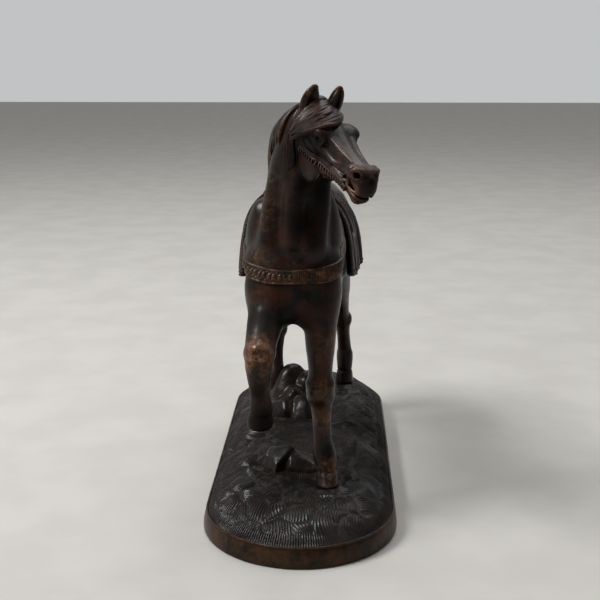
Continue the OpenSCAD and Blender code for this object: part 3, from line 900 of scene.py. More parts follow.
def cast(name, box, voxel, sculpt, planes=(), keep=None, margin=8):
    """A casting: sculpted in a field over a box, meshed, cut at its joints and given its
    normals, ridges and hollows from the field."""
    low, high = box
    field = Field(low - margin, high + margin, voxel)
    sculpt(field)
    field.smooth(SMOOTHING_ROUNDS)
    points, quads = field.surface()
    points, quads = compact(points, largest_island(quads, len(points)))
    piece = new_mesh(name, field.settle(points), quads)
    if keep:
        split(piece, planes, keep)
    points = points_of(piece)
    piece.data.normals_split_custom_set_from_vertices(field.normals(points).tolist())
    fine = field.bulge(points, FINE_RIDGE)
    broad = field.bulge(points, BROAD_RIDGE)
    layer(piece, "ridge", np.clip(2.2 * fine + 1.3 * broad, -1, 1))
    return piece


# ---------- Noise on points ----------

def hashed(cells, seed):
    """A number from 0 to 1 for each row of whole numbers."""
    h = cells[:, 0] * 374761393 + cells[:, 1] * 668265263 + cells[:, 2] * 2147483647 + seed * 974634777
    h = (h ^ (h >> 13)) * 1274126177
    return ((h ^ (h >> 16)) & 0xFFFFFF) / 0xFFFFFF


def noise(points, size, seed):
    """Smooth value noise from -1 to 1, with features of about the given size."""
    at = np.asarray(points, float) / size
    cell = np.floor(at).astype(np.int64)
    part = at - cell
    part = part * part * (3 - 2 * part)
    total = np.zeros(len(at))
    for corner in CORNERS:
        weight = np.prod(np.where(corner, part, 1 - part), axis=1)
        total += weight * hashed(cell + corner, seed)
    return 2 * total - 1


# ---------- Base ----------

LIP_W = 2.4
LIP_GAP = 0.2
GROUND_EDGE_W = BASE_HALF_W - LIP_W - LIP_GAP
SPINE = BASE_HALF_L - BASE_HALF_W       # half the length of the straight sides


def outline(reach, steps):
    """Points and outward directions round a stadium, evenly spaced along its edge.
    reach is the distance of the points from the spine."""
    straight = 2 * SPINE
    bend = math.pi * BASE_HALF_W
    s = np.arange(steps) / steps * (2 * straight + 2 * bend)
    angle = np.zeros(steps)
    spine_y = np.zeros(steps)
    for start, end_y, first in ((0, SPINE, 0), (bend + straight, -SPINE, math.pi)):
        turn = (s - start) / BASE_HALF_W
        on_bend = (turn >= 0) & (turn <= math.pi)
        angle[on_bend] = first + turn[on_bend]
        spine_y[on_bend] = end_y
        along = s - start - bend
        on_side = (along > 0) & (along < straight)
        angle[on_side] = first + math.pi
        spine_y[on_side] = end_y - math.copysign(1, end_y) * along[on_side]
    out = np.stack([np.cos(angle), np.sin(angle)], axis=1)
    middle = np.stack([np.zeros(steps), spine_y], axis=1)
    return middle + out * reach, out


def ring_mesh(name, rings, closed=False):
    """A mesh through rings of equal numbers of points; closed joins the last to the first."""
    steps = len(rings[0])
    points = np.concatenate(rings)
    j, k = np.meshgrid(np.arange(len(rings) - (0 if closed else 1)), np.arange(steps), indexing="ij")
    after = (j + 1) % len(rings)
    quads = np.stack([j * steps + k, j * steps + (k + 1) % steps,
                      after * steps + (k + 1) % steps, after * steps + k], axis=-1).reshape(-1, 4)
    return new_mesh(name, points, quads)


BAND_MODEL_H = 13                       # the height that the profile is drawn at
BAND_PROFILE = [                        # [inset from the foot, height]
    [1.6, 0.0], [0.7, 0.25], [0.15, 0.9], [0.0, 2.0], [0.05, 4.0], [0.3, 6.2], [0.7, 8.2],
    [1.15, 9.9], [1.55, 11.0], [1.75, 11.45], [1.72, 11.8], [1.55, 12.2], [1.62, 12.6],
    [1.95, 12.92], [2.35, 13.0], [2.7, 12.8], [2.85, 12.4], [2.9, 11.0], [2.9, 6.1],
    [6.0, 6.0], [6.0, 0.4], [5.6, 0.0],
]
LIP_H, GROOVE_H = 12.6, 11.35           # heights of the lip and of the groove below it
OUTER_FACE_H, OUTER_FACE_INSET = 12.9, 2.8
DENT_LIMIT = 0.1                        # the skin lies this far inside the clean profile


def make_band():
    """The plain band: swelling out towards its foot, with a thin raised lip along its top."""
    steps = 900 if COARSE == 1 else 450
    rings = []
    for inset, height in spline(BAND_PROFILE, 3):
        flat, out = outline(BASE_HALF_W - inset, steps)
        ring = np.column_stack([flat, np.full(steps, max(height, 0) * BAND_TOP / BAND_MODEL_H)])
        outer_face = 0 < height < OUTER_FACE_H and inset < OUTER_FACE_INSET
        if outer_face:
            dent = 0.12 * noise(ring, 14, 3) + 0.06 * noise(ring, 4, 4)
            ring[:, :2] += out * np.minimum(dent, DENT_LIMIT)[:, None] - out * DENT_LIMIT
        rings.append(ring)
    band = ring_mesh("band", rings, closed=True)
    height = points_of(band)[:, 2]
    lip = np.exp(-((height - LIP_H) / 0.5) ** 2)
    foot = np.exp(-(height / 1.4) ** 2)
    groove = np.exp(-((height - GROOVE_H) / 0.35) ** 2)
    layer(band, "ridge", np.clip(0.55 * lip + 0.3 * foot - 0.7 * groove, -1, 1))
    return band


def tufts(points, spacing, seed):
    """For each point: the middle of its nearest tuft, how far inside the tuft it lies (0 at the
    border, 1 at the middle), and the tuft's own random number."""
    rng = np.random.default_rng(seed)
    xs = np.arange(-BASE_HALF_W, BASE_HALF_W + spacing, spacing)
    ys = np.arange(-BASE_HALF_L, BASE_HALF_L + spacing, spacing)
    middles = np.array([(x, y) for x in xs for y in ys])
    middles += rng.uniform(-0.45, 0.45, middles.shape) * spacing
    nearest = np.full(len(points), 1e9)
    second = np.full(len(points), 1e9)
    which = np.zeros(len(points), int)
    for i, middle in enumerate(middles):
        near = np.flatnonzero((np.abs(points - middle) < 2 * spacing).all(axis=1))
        gap = np.hypot(*(points[near] - middle).T)
        closer = gap < nearest[near]
        second[near] = np.where(closer, nearest[near], np.minimum(second[near], gap))
        which[near[closer]] = i
        nearest[near] = np.minimum(nearest[near], gap)
    inner = np.clip((second - nearest) / spacing, 0, 1)
    return middles[which], inner, rng.uniform(-1, 1, len(middles))[which]


HOLLOW = [32, -6, 14, 17]               # the dark hollow: x, y, half width, half length
STEP = [19, -112, 15, 4]                # the low step in front of the standing hoof, likewise
BLADE_PITCH = 1.75
COMB_PITCH = 1.6


def stripes(run, pitch):
    """Ridges at a pitch along a run: 0 in the furrows, 1 on the crests."""
    return np.abs(np.sin(math.pi * run / pitch))


def radius_in(points, ellipse):
    """Where points lie in an ellipse: 0 at its middle, 1 on its edge."""
    x, y, half_w, half_l = ellipse
    return np.hypot((points[:, 0] - x) / half_w, (points[:, 1] - y) / half_l)


def grass(flat, out, border):
    """How high each point stands on its engraved blade, and on its clump of blades.
    Each clump combs its own way; in the border straight marks run down to the lip."""
    points = flat[:, :2]
    wander = np.column_stack([noise(flat, 9, 1), noise(flat, 9, 2)])
    middles, inner, own = tufts(points + 2.5 * wander, 13, 7)
    outward = np.arctan2(out[:, 1], out[:, 0])
    comb = outward + 0.95 * own + 0.35 * noise(flat, 16, 5)
    x, y = (points - middles).T
    across = -x * np.sin(comb) + y * np.cos(comb)
    along = x * np.cos(comb) + y * np.sin(comb)
    curl = across + 0.018 * along ** 2 * np.sign(own) + 0.5 * noise(flat, 5, 8)
    clump = np.clip(inner * 1.7, 0, 1) ** 0.8
    blades = stripes(curl, BLADE_PITCH) * np.clip(0.35 + clump, 0, 1)
    on_side = np.abs(out[:, 0]) > 0.9999
    run = np.where(on_side, points[:, 1], outward * BASE_HALF_W)
    marks = stripes(run + 0.35 * noise(flat, 6, 9), COMB_PITCH)
    return (1 - border) * blades + border * marks, clump


def ground_relief(points, out, share):
    """The ground's height, and how high each point stands on its blade and on its clump.
    share is how far out a point lies: 0 on the spine, 1 at the lip."""
    flat = np.column_stack([points, np.zeros(len(points))])
    slope = np.clip((share - 0.42) / 0.2, 0, 1)
    rim = np.clip((1 - share) / 0.03, 0, 1)
    border = np.clip((share - 0.86) / 0.07, 0, 1)
    strokes, clump = grass(flat, out, border)
    edge = BAND_TOP - 0.9
    height = edge + (GROUND - edge) * (1 - np.clip((share - 0.5) / 0.5, 0, 1) ** 2.1)
    # Blades and clumps, deepest on the slopes and gone at the lip
    patch = np.clip(0.85 + 0.6 * noise(flat, 22, 12), 0.45, 1)
    height += rim * (0.5 + 0.75 * slope) * patch * (strokes - 0.6)
    height += rim * (0.2 + 0.6 * slope * (1 - border)) * (clump - 0.7)
    height += rim * slope * 0.7 * noise(flat, 11, 18)
    # Rough ground on top, with its hollow and its step
    rough = 0.7 * noise(flat, 10, 15) + 0.35 * noise(flat, 3.6, 16) + 0.14 * noise(flat, 1.5, 17)
    height += (1 - slope) * (rough - 0.4)
    height -= 5.2 * np.clip(1 - radius_in(points, HOLLOW) ** 2, 0, 1) ** 0.7
    height += 0.9 * np.clip(3 * (1.4 - radius_in(points, STEP)), 0, 1)
    return height, strokes, clump


LEDGE_H = 6.2                           # the band's ledge, which the ground's wall stands on
WALL_W = 4
CEILING = GROUND - 5.3                  # the inside of the mound, under the hooves


def make_ground():
    """The hollow mound: its modelled top, its wall on the band's ledge and the ceiling inside."""
    steps = 2200 if COARSE == 1 else 1100
    shares = np.concatenate([np.linspace(0.001, 0.42, 24, endpoint=False), np.linspace(0.42, 1, 52)])
    if COARSE > 1:
        shares = shares[::2]
        shares[-1] = 1
    flats, outs = zip(*[outline(share * GROUND_EDGE_W, steps) for share in shares])
    flat = np.concatenate(flats)
    height, strokes, clump = ground_relief(flat, np.concatenate(outs), np.repeat(shares, steps))
    rings = list(np.column_stack([flat, height]).reshape(len(shares), steps, 3))
    inner_w = GROUND_EDGE_W - WALL_W
    for reach, z in ((GROUND_EDGE_W, LEDGE_H), (inner_w, LEDGE_H), (inner_w, BAND_TOP - WALL_W),
                     (0.62 * GROUND_EDGE_W, CEILING), (0.001 * GROUND_EDGE_W, CEILING)):
        ring, _ = outline(reach, steps)
        rings.append(np.column_stack([ring, np.full(steps, z)]))
    piece = ring_mesh("ground", rings, closed=True)
    ridge = np.zeros(len(piece.data.vertices))
    ridge[:len(strokes)] = 1.6 * (strokes - 0.6) + 0.5 * (clump - 0.75)
    layer(piece, "ridge", np.clip(ridge, -1, 1))
    return piece


def chunk(centre, radii, facets, rounding, seed):
    """A faceted boulder: an ellipsoid hewn by flat planes in many directions."""
    rng = np.random.default_rng(seed)
    directions = rng.normal(size=(facets, 3))
    directions[:, 2] = np.abs(directions[:, 2])
    directions /= np.linalg.norm(directions, axis=1, keepdims=True)
    radii = np.asarray(radii, float)
    reach = np.sqrt((directions ** 2) @ (radii ** 2)) * rng.uniform(0.8, 0.98, facets)
    centre = np.asarray(centre, float) + [0, 0, GROUND]

    def distance(x, y, z):
        x, y, z = x - centre[0], y - centre[1], z - centre[2]
        worst = np.full(np.broadcast(x, y, z).shape, -1e3, np.float32)
        for (a, b, c), limit in zip(directions, reach):
            face = x * a + y * b + z * c - limit
            worst = -soft_min(-worst, -face, rounding)
        return worst

    return Shape(centre - radii, centre + radii, distance)


FRONT_ROCKS = [                         # [centre, radii, facets, rounding, seed]
    [[-14, -69, 0], [12, 12, 12.5], 11, 0.8, 3],
    [[-3.5, -72, -1], [9, 12, 11.5], 10, 0.8, 8],
    [[-22, -66, -1], [8, 9, 6], 11, 1.2, 12],
]
REAR_ROCKS = [
    [[-14, 31, 0], [15, 16, 14], 20, 3, 21],
    [[-2, 28, 0], [13, 15, 16], 20, 3, 22],
    [[-12, 50, 2], [20, 17, 36], 34, 5, 24],
    [[0, 47, 2], [14, 15, 31], 24, 4.5, 26],
    [[-8, 36, 0], [15, 12, 20], 22, 3, 27],
]


def sculpt_rocks(rows):
    """A sculptor of boulders with a rough skin, cut off flat just inside the ground."""
    def sculpt(field):
        for row in rows:
            field.add([chunk(*row)], 1.6)
        x, y, z = np.meshgrid(*field.axes, indexing="ij")
        flat = np.stack([x.ravel(), y.ravel(), z.ravel()], axis=1)
        rough = 0.35 * noise(flat, 5, 31) + 0.14 * noise(flat, 1.8, 32)
        field.values += rough.reshape(field.values.shape).astype(np.float32)
        field.values[:] = np.maximum(field.values, (GROUND - 2.2) - z)
    return sculpt


# ---------- Materials ----------

DRIP_STRETCH = 0.22                     # drips run down: their noise is squeezed along z
COLOUR_A, COLOUR_B, MIXED_COLOUR = 6, 7, 2      # the colour sockets of a mix node


class Nodes:
    """Short names for building a material's nodes; colours and numbers or outputs go in alike."""

    def __init__(self, name):
        self.material = bpy.data.materials.new(name)
        self.material.use_nodes = True
        self.tree = self.material.node_tree
        self.shader = self.tree.nodes["Principled BSDF"]
        coordinates = self.tree.nodes.new("ShaderNodeTexCoord")
        self.place = coordinates.outputs["Object"]
        squeeze = self.tree.nodes.new("ShaderNodeMapping")
        squeeze.inputs["Scale"].default_value = (1, 1, DRIP_STRETCH)
        self.tree.links.new(self.place, squeeze.inputs["Vector"])
        self.drips = squeeze.outputs["Vector"]

    def put(self, node, socket, value):
        if isinstance(value, bpy.types.NodeSocket):
            self.tree.links.new(value, node.inputs[socket])
        else:
            node.inputs[socket].default_value = value

    def attribute(self, name):
        node = self.tree.nodes.new("ShaderNodeAttribute")
        node.attribute_name = name
        return node.outputs["Fac"]

    def noise(self, millimetres, detail=3, roughness=0.55, distortion=0.0, where=None):
        node = self.tree.nodes.new("ShaderNodeTexNoise")
        node.inputs["Scale"].default_value = 1000 / millimetres
        node.inputs["Detail"].default_value = detail
        node.inputs["Roughness"].default_value = roughness
        node.inputs["Distortion"].default_value = distortion
        self.put(node, "Vector", where or self.place)
        return node.outputs["Fac"]

    def pits(self, millimetres):
        node = self.tree.nodes.new("ShaderNodeTexVoronoi")
        node.inputs["Scale"].default_value = 1000 / millimetres
        self.put(node, "Vector", self.place)
        return node.outputs["Distance"]

    def maths(self, operation, a, b=0.0, clamp=False):
        node = self.tree.nodes.new("ShaderNodeMath")
        node.operation = operation
        node.use_clamp = clamp
        self.put(node, 0, a)
        self.put(node, 1, b)
        return node.outputs[0]

    def between(self, value, low, high, to_low=0.0, to_high=1.0):
        node = self.tree.nodes.new("ShaderNodeMapRange")
        node.interpolation_type = "SMOOTHSTEP"
        node.inputs["From Min"].default_value = low
        node.inputs["From Max"].default_value = high
        node.inputs["To Min"].default_value = to_low
        node.inputs["To Max"].default_value = to_high
        self.put(node, "Value", value)
        return node.outputs["Result"]

    def mix(self, share, a, b):
        node = self.tree.nodes.new("ShaderNodeMix")
        node.data_type = "RGBA"
        self.put(node, "Factor", share)
        for socket, colour in ((COLOUR_A, a), (COLOUR_B, b)):
            given = isinstance(colour, bpy.types.NodeSocket)
            self.put(node, socket, colour if given else (*colour, 1))
        return node.outputs[MIXED_COLOUR]

    def bump(self, height, millimetres, under=None):
        node = self.tree.nodes.new("ShaderNodeBump")
        node.inputs["Strength"].default_value = 1
        node.inputs["Distance"].default_value = millimetres * MM
        self.put(node, "Height", height)
        if under is not None:
            self.tree.links.new(under, node.inputs["Normal"])
        return node.outputs["Normal"]


DARK = (0.0036, 0.0029, 0.0026)
BROWN = (0.0105, 0.0062, 0.0045)
GROUND_BROWN = (0.012, 0.0085, 0.0066)
RED = (0.034, 0.0098, 0.0055)
COPPER = (0.4, 0.21, 0.13)
AMBER = (0.16, 0.074, 0.022)
GRIME_AND_SHADE_BLACK = (0.003, 0.0026, 0.0022)
STONE_GREY = (0.085, 0.076, 0.066)
STONE_BROWN = (0.05, 0.038, 0.028)
GREEN_BLACK = (0.0092, 0.0108, 0.0088)
BRASS = (0.42, 0.27, 0.1)
BRASS_BROWN = (0.24, 0.14, 0.05)
BRASS_SPECK = (0.07, 0.045, 0.02)


def bronze_skin(n, brown, red, mottle, broad, fine):
    """The dark skin: brown patches, dark and red-brown runs down it, and red and cold places."""
    base = n.mix(n.between(broad, 0.36, 0.66), DARK, brown)
    base = n.mix(n.maths("MULTIPLY", n.between(fine, 0.5, 0.72), 0.65), base, brown)
    runs = n.noise(mottle * 0.8, 3, 0.6, 0.6, n.drips)
    base = n.mix(n.between(runs, 0.52, 0.66, 0, 0.7), base, DARK)
    base = n.mix(n.between(runs, 0.34, 0.44, 0.6, 0), base, n.mix(0.5, brown, RED))
    patches = n.between(n.noise(mottle * 1.3, 3, 0.6), 0.4, 0.64)
    reddened = n.maths("ADD", n.attribute("tone"), red, True)
    base = n.mix(n.maths("MULTIPLY", patches, reddened, True), base, RED)
    return n.mix(n.maths("MULTIPLY", n.attribute("cold"), 0.85), base, GREEN_BLACK)


def wear_and_highlight_share(n, ridge, unshaded, wear, broad, fine, speck):
    """How far the skin is worn through to metal: on ridges, and in blotches where the rub layer says so,
    which are rubbing and, on the shoulder and the neck's right side, a painted highlight.
    """
    wander = n.maths("MULTIPLY", n.maths("SUBTRACT", fine, 0.5), 0.5)
    edge = n.between(n.maths("ADD", ridge, wander), 0.42, 1.15, 0, 0.5 * wear)
    blotch = n.maths("ADD", n.maths("MULTIPLY", broad, 0.55), n.maths("MULTIPLY", fine, 0.6))
    blotch = n.maths("ADD", blotch, n.maths("MULTIPLY", speck, 0.3))
    patchy = n.maths("MULTIPLY", n.attribute("rub_and_highlight"), n.between(blotch, 0.58, 0.88, 0.06, 1.25))
    return n.maths("MULTIPLY", n.maths("ADD", edge, patchy, True), unshaded)


def grime_and_painted_shade(n, ridge, painted_shade, speck):
    """How much black there is: grime in the hollows, and painted shade where the painted-shade layer says
    so.
    """
    hollow = n.between(ridge, -0.5, -0.04, 1, 0)
    grime_and_shade = n.maths("MULTIPLY", hollow, n.between(speck, 0.4, 0.65, 0.32, 0.8), True)
    return n.maths("MAXIMUM", grime_and_shade, n.maths("MULTIPLY", painted_shade, 0.85))


def sheen(n, wear_and_highlight, grime_and_shade, unshaded, gloss, fine, speck):
    """Worn places and painted highlights are metallic and smooth, grimy places and painted shade rough and
    dull; painted shade also gets weaker highlights.
    """
    n.put(n.shader, "Metallic", n.between(wear_and_highlight, 0, 0.8, 0.0, 0.85))
    rough = n.between(fine, 0.3, 0.75, gloss - 0.07, gloss + 0.12)
    rough = n.maths("ADD", rough, n.maths("MULTIPLY", grime_and_shade, 0.3))
    rough = n.maths("SUBTRACT", rough, n.maths("MULTIPLY", wear_and_highlight, 0.09))
    n.put(n.shader, "Roughness", n.maths("ADD", rough, n.maths("MULTIPLY", speck, 0.05), True))
    n.put(n.shader, "Specular IOR Level", n.maths("ADD", n.maths("MULTIPLY", unshaded, 0.09), 0.03))
    n.put(n.shader, "Coat Weight", n.maths("MULTIPLY", unshaded, 0.13))
    n.put(n.shader, "Coat Roughness", 0.2)


def patina(name, brown=BROWN, red=0.18, copper=COPPER, second=AMBER, wear=1.0, gloss=0.31,
           grain=0.04, mottle=9.0):
    """Old bronze: a dark skin, mottled brown and red, rubbed through to copper on its ridges and where the
    rub layer says so (partly a painted highlight), with black grime in its hollows and black painted shade
    where the painted-shade layer says so."""
    n = Nodes(name)
    ridge = n.attribute("ridge")
    # Painted shade layer: where shade falls the skin is painted black and dull, with weaker highlights
    painted_shade = n.attribute("painted_shade")
    unshaded = n.maths("SUBTRACT", 1.0, painted_shade, True)
    broad = n.noise(mottle * 2.6, 4, 0.6, 0.4)
    fine = n.noise(mottle / 3, 5, 0.65)
    speck = n.noise(0.9, 3, 0.7)
    wear_and_highlight = wear_and_highlight_share(n, ridge, unshaded, wear, broad, fine, speck)
    grime_and_shade = grime_and_painted_shade(n, ridge, painted_shade, speck)
    metal = n.mix(n.between(n.noise(mottle * 0.7, 4, 0.6), 0.4, 0.62), copper, second)
    base = n.mix(wear_and_highlight, bronze_skin(n, brown, red, mottle, broad, fine), metal)
    # Black for the grime in the hollows and for the painted shade
    base = n.mix(grime_and_shade, base, GRIME_AND_SHADE_BLACK)
    n.put(n.shader, "Base Color", n.mix(n.between(speck, 0.64, 0.74, 0, 0.55), base, DARK))
    sheen(n, wear_and_highlight, grime_and_shade, unshaded, gloss, fine, speck)
    waves = n.bump(n.noise(mottle * 0.45, 3, 0.5), 0.10)
    skin = n.bump(speck, grain, waves)
    n.put(n.shader, "Normal", n.bump(n.between(n.pits(1.7), 0.02, 0.16), grain * 0.7, skin))
    return n.material


def brass(name):
    """Bare turned brass, tarnished in patches and specks."""
    n = Nodes(name)
    broad = n.noise(4, 4, 0.6)
    fine = n.noise(0.5, 3, 0.6)
    colour = n.mix(n.between(broad, 0.4, 0.65), BRASS, BRASS_BROWN)
    n.put(n.shader, "Base Color", n.mix(n.between(fine, 0.62, 0.75, 0, 0.6), colour, BRASS_SPECK))
    n.put(n.shader, "Metallic", 1.0)
    n.put(n.shader, "Roughness", n.between(broad, 0.3, 0.7, 0.3, 0.5))
    n.put(n.shader, "Normal", n.bump(fine, 0.03))
    return n.material


def matte(name, colour, second, millimetres):
    """A dull paint that drifts between two colours."""
    n = Nodes(name)
    n.put(n.shader, "Base Color", n.mix(n.between(n.noise(millimetres, 4), 0.35, 0.65), colour, second))
    n.put(n.shader, "Roughness", 0.9)
    n.put(n.shader, "Specular IOR Level", 0.2)
    return n.material


def spot(points, centre, radius):
    """1 at a place, fading out over a radius."""
    return np.exp(-np.sum(((points - np.asarray(centre)) / radius) ** 2, axis=1))


def spots(body_rows, head_rows=()):
    """[place, radius, strength] from rows of x, y, height above the ground, radius and strength,
    and from rows whose places are in head lengths."""
    body = [[[x, y, h + GROUND], radius, strength] for x, y, h, radius, strength in body_rows]
    head = [[in_head(row[:3])[0], *row[3:]] for row in head_rows]
    return body + head


# Places rubbed bright; on the neck's right side and the shoulder partly a painted highlight
RUBBED_AND_HIGHLIGHTED = spots([
    [-24, -120, 87, 10, 1.0],
    [-25, -117, 74, 10, 0.28],
    [-20, -113, 57, 9, 0.16],
    [-31, -110, 45, 5, 0.4],
    [-17.5, -114, 68, 6, 0.5],
    [0, -103, 146, 8, 0.4],
    [1, -104, 165, 7, 0.3],
    [-20, -92, 112, 9, 0.3],
    [16, -93, 90, 8, 0.3],
    [15, -96, 40, 9, 0.35],
    [15, -98, 60, 8, 0.25],
    [17, -103, 8, 9, 0.55],
    # Neck's right side and shoulder: lighter patches, partly rubbed metal and partly a painted highlight
    # where the light falls on them
    [-16, -90, 165, 12, 0.2],
    [-19, -86, 185, 10, 0.2],
    [-22, -86, 139, 9, 0.3],
    [30, 107, 55, 12, 0.3],
    [-1, 70, 168, 26, 0.22],
], [
    [-0.03, -0.88, 0, 8, 0.2],
    [-0.07, -0.93, -0.15, 7, 0.4],
    [0, -0.9, -0.26, 6, 0.25],
])
# Places with a red skin
REDDENED = spots([
    [-4, -98, 112, 26, 1.0],
    [0, -100, 155, 16, 0.9],
    [0, -103, 185, 15, 0.7],
    [14, -95, 80, 20, 0.8],
    [14, -97, 40, 18, 0.8],
], [
    [0, -0.9, -0.1, 14, 0.9],
])
# Places with a cold greenish skin
COLD = spots([
    [-21, -97, 104, 12.5, 1.0],
    [-32, -76, 138, 18, 0.7],
    [-15, -86, 175, 16, 0.45],
    [-20, -108, 45, 9, 0.8],
])
# Painted shade: places painted black and dull where shade falls, such as under the forelock, on the jowl and
# the muzzle, down the front of the neck and the chest, under the forearm, on the lifted hoof and along the
# ground's right side
PAINTED_SHADE = spots([
    [3, -100, 162, 15, 1.0],
    [4, -98, 185, 12, 0.9],
    [-4, -96, 100, 20, 0.6],
    [-23, -108, 46, 16, 0.95],
    [-26, -119, 66, 8, 0.7],
    [-23, -102, 105, 12, 0.85],
    [14, -96, 112, 10, 0.5],
    [14, -80, 175, 22, 0.6],
    [-6, -66, 6, 13, 0.6],
    [44, -60, -8, 34, 0.75],
    [44, 10, -8, 36, 0.75],
    [-4, 40, 8, 16, 0.4],
], [
    [-0.13, -0.36, -0.06, 10, 0.9],
    [-0.12, -0.27, 0.0, 10, 0.9],
    [0, -0.97, -0.1, 12, 0.5],
    [0.1, -0.45, 0.0, 14, 0.35],
    [-0.25, -0.2, -0.06, 9, 0.7],
    [-0.08, -0.32, 0.06, 16, 0.35],
    [-0.12, -0.17, -0.3, 12, 0.5],
])


def painted(points, spots, base=0.0):
    """The strongest of the spots at each point, and nowhere less than base."""
    total = np.full(len(points), float(base))
    for centre, radius, strength in spots:
        total = np.maximum(total, strength * spot(points, centre, radius))
    return total


def paint(piece, rub_and_highlight, tone, cold):
    """Gives a piece the layers that patina reads: rubbing with some painted highlight, red tone, cold tone
    and painted shade; the three numbers are the least values of the first three.
    """
    points = points_of(piece)
    layer(piece, "rub_and_highlight", painted(points, RUBBED_AND_HIGHLIGHTED, rub_and_highlight))
    layer(piece, "tone", painted(points, REDDENED, tone))
    layer(piece, "cold", painted(points, COLD, cold))
    layer(piece, "painted_shade", painted(points, PAINTED_SHADE))


# ---------- Tack ----------

def soft_rows(grid, rounds):
    """Evens out a grid along its first axis, in place, leaving its ends where they are."""
    for _ in range(rounds):
        grid[1:-1] = 0.25 * grid[:-2] + 0.5 * grid[1:-1] + 0.25 * grid[2:]
    return grid


def shell(name, base, outward, top, bottom):
    """A closed sheet over a grid of points: its two faces lie top and bottom beyond the grid."""
    rows, columns = base.shape[:2]
    upper = base + outward * top[..., None]
    lower = base + outward * bottom[..., None]
    points = np.concatenate([upper.reshape(-1, 3), lower.reshape(-1, 3)])
    index = np.arange(rows * columns).reshape(rows, columns)
    a, b, c, d = index[:-1, :-1], index[1:, :-1], index[1:, 1:], index[:-1, 1:]
    face = np.stack([a, b, c, d], axis=-1).reshape(-1, 4)
    half = rows * columns
    sides = []
    for line, flip in ((index[:, 0], True), (index[:, -1], False), (index[0], False), (index[-1], True)):
        side = np.stack([line[:-1], line[:-1] + half, line[1:] + half, line[1:]], axis=-1)
        sides.append(side if flip else side[:, ::-1])
    quads = np.concatenate([face[:, ::-1], face + half] + [s[:, ::-1] for s in sides])
    piece = new_mesh(name, points, quads)
    with edited(piece) as bm:
        bmesh.ops.recalc_face_normals(bm, faces=bm.faces)
    return piece


def edge_round(u, power=8):
    """1 across a strap, falling off at its two edges, for u from -1 to 1."""
    return (1 - np.abs(u) ** power) ** 0.5


def cord(u, at, width):
    """A rounded ridge: 1 where u is at its middle, fading out over its width."""
    return np.exp(-((u - at) / width) ** 2)


def bead_row(s, u, pitch, radius, at=0.0, scale=1.0):
    """Half-round beads in a row: s is the distance along and u across, both in millimetres."""
    along = (s / pitch - np.floor(s / pitch) - 0.5) * pitch
    return np.sqrt(np.clip(1 - (along / radius) ** 2 - ((u - at) / (radius * scale)) ** 2, 0, 1))


def run_of(grid):
    """Distance along the middle of a grid of points."""
    middle = grid[:, grid.shape[1] // 2]
    gaps = np.linalg.norm(np.diff(middle, axis=0), axis=1)
    return np.concatenate([[0], np.cumsum(gaps)])


def strap_grid(field, centre, first, second, angles, half_width, columns):
    """Points on a casting along a band that a slab cuts out of it, and their normals.
    The slab's plane runs through centre along the directions first and second."""
    across = np.cross(first, second)
    offsets = np.linspace(-half_width, half_width, columns)
    angle = np.radians(angles)
    directions = np.outer(np.cos(angle), first) + np.outer(np.sin(angle), second)
    starts = np.asarray(centre) + offsets[None, :, None] * across + np.zeros((len(angles), 1, 1))
    rays = np.broadcast_to(directions[:, None, :], starts.shape)
    grid = march(field, starts.reshape(-1, 3), rays.reshape(-1, 3)).reshape(starts.shape)
    return grid, offsets


def laid_on(field, grid, rounds):
    """A grid of points on a casting, evened out, and the directions away from the casting."""
    grid = soft_rows(grid, rounds)
    normals = field.normals(grid.reshape(-1, 3)).reshape(grid.shape)
    return grid, unit(soft_rows(normals, 3))


def dense(value):
    """A number of rows or columns, fewer in a quick try."""
    return int(value / COARSE)


SUNK = -0.8                             # the straps' undersides lie this far inside the castings
COLLAR_SLOPE = 18                       # degrees
COLLAR_CENTRE = np.array([-4.6, -97, 129.5 + GROUND]) + lean(COLLAR_SLOPE) @ [0, 36, 0]
COLLAR_HALF_W = 4.1
LUMP_PITCH = 3.1
PEARLS_REACH = 12


def make_collar(field):
    """The breast strap: lumpy beads on its right half, upright ribs on its left half."""
    angles = np.linspace(-212, 32, dense(760))
    grid, offsets = strap_grid(field, COLLAR_CENTRE, np.array([1.0, 0, 0]),
                               lean(COLLAR_SLOPE) @ [0, 1.0, 0], angles, COLLAR_HALF_W, dense(30))
    grid, normals = laid_on(field, grid, 4)
    s = run_of(grid)[:, None] + 0 * offsets
    along = s - s[np.argmin(np.abs(angles + 90))][0]
    w = offsets + 0 * s
    u = w / COLLAR_HALF_W
    lump = 0.75 * bead_row(along + 0.4 * np.sin(along), w, LUMP_PITCH, 1.45, -0.2, 1.25)
    for at in (1.9, -2.2):
        lump += 0.3 * bead_row(along + 1.6, w, LUMP_PITCH, 0.7, at)
    ribs = 0.32 * stripes(along, 1.35) * (np.abs(u) < 0.68)
    left_half = np.clip((along + 0.2) / 0.5, 0, 1)
    pattern = (1 - left_half) * lump + left_half * (ribs + 0.25)
    edges = 0.5 * cord(u, 0.84, 0.09) + 0.45 * cord(u, -0.84, 0.09)
    pearls = 0.35 * bead_row(along, w, 1.25, 0.55, -3.4)
    top = (1.0 + pattern + edges + pearls * (np.abs(along) < PEARLS_REACH)) * edge_round(u)
    piece = shell("breast_strap", grid, normals, top, 0 * top + SUNK)
    ridge_layer(piece, pattern + edges + pearls, 1.5, 0.42)
    return piece


GIRTH_CENTRE = [-4.4, -30, 122 + GROUND]
GIRTH_HALF_W = 5.4
GIRTH_T = 1.4


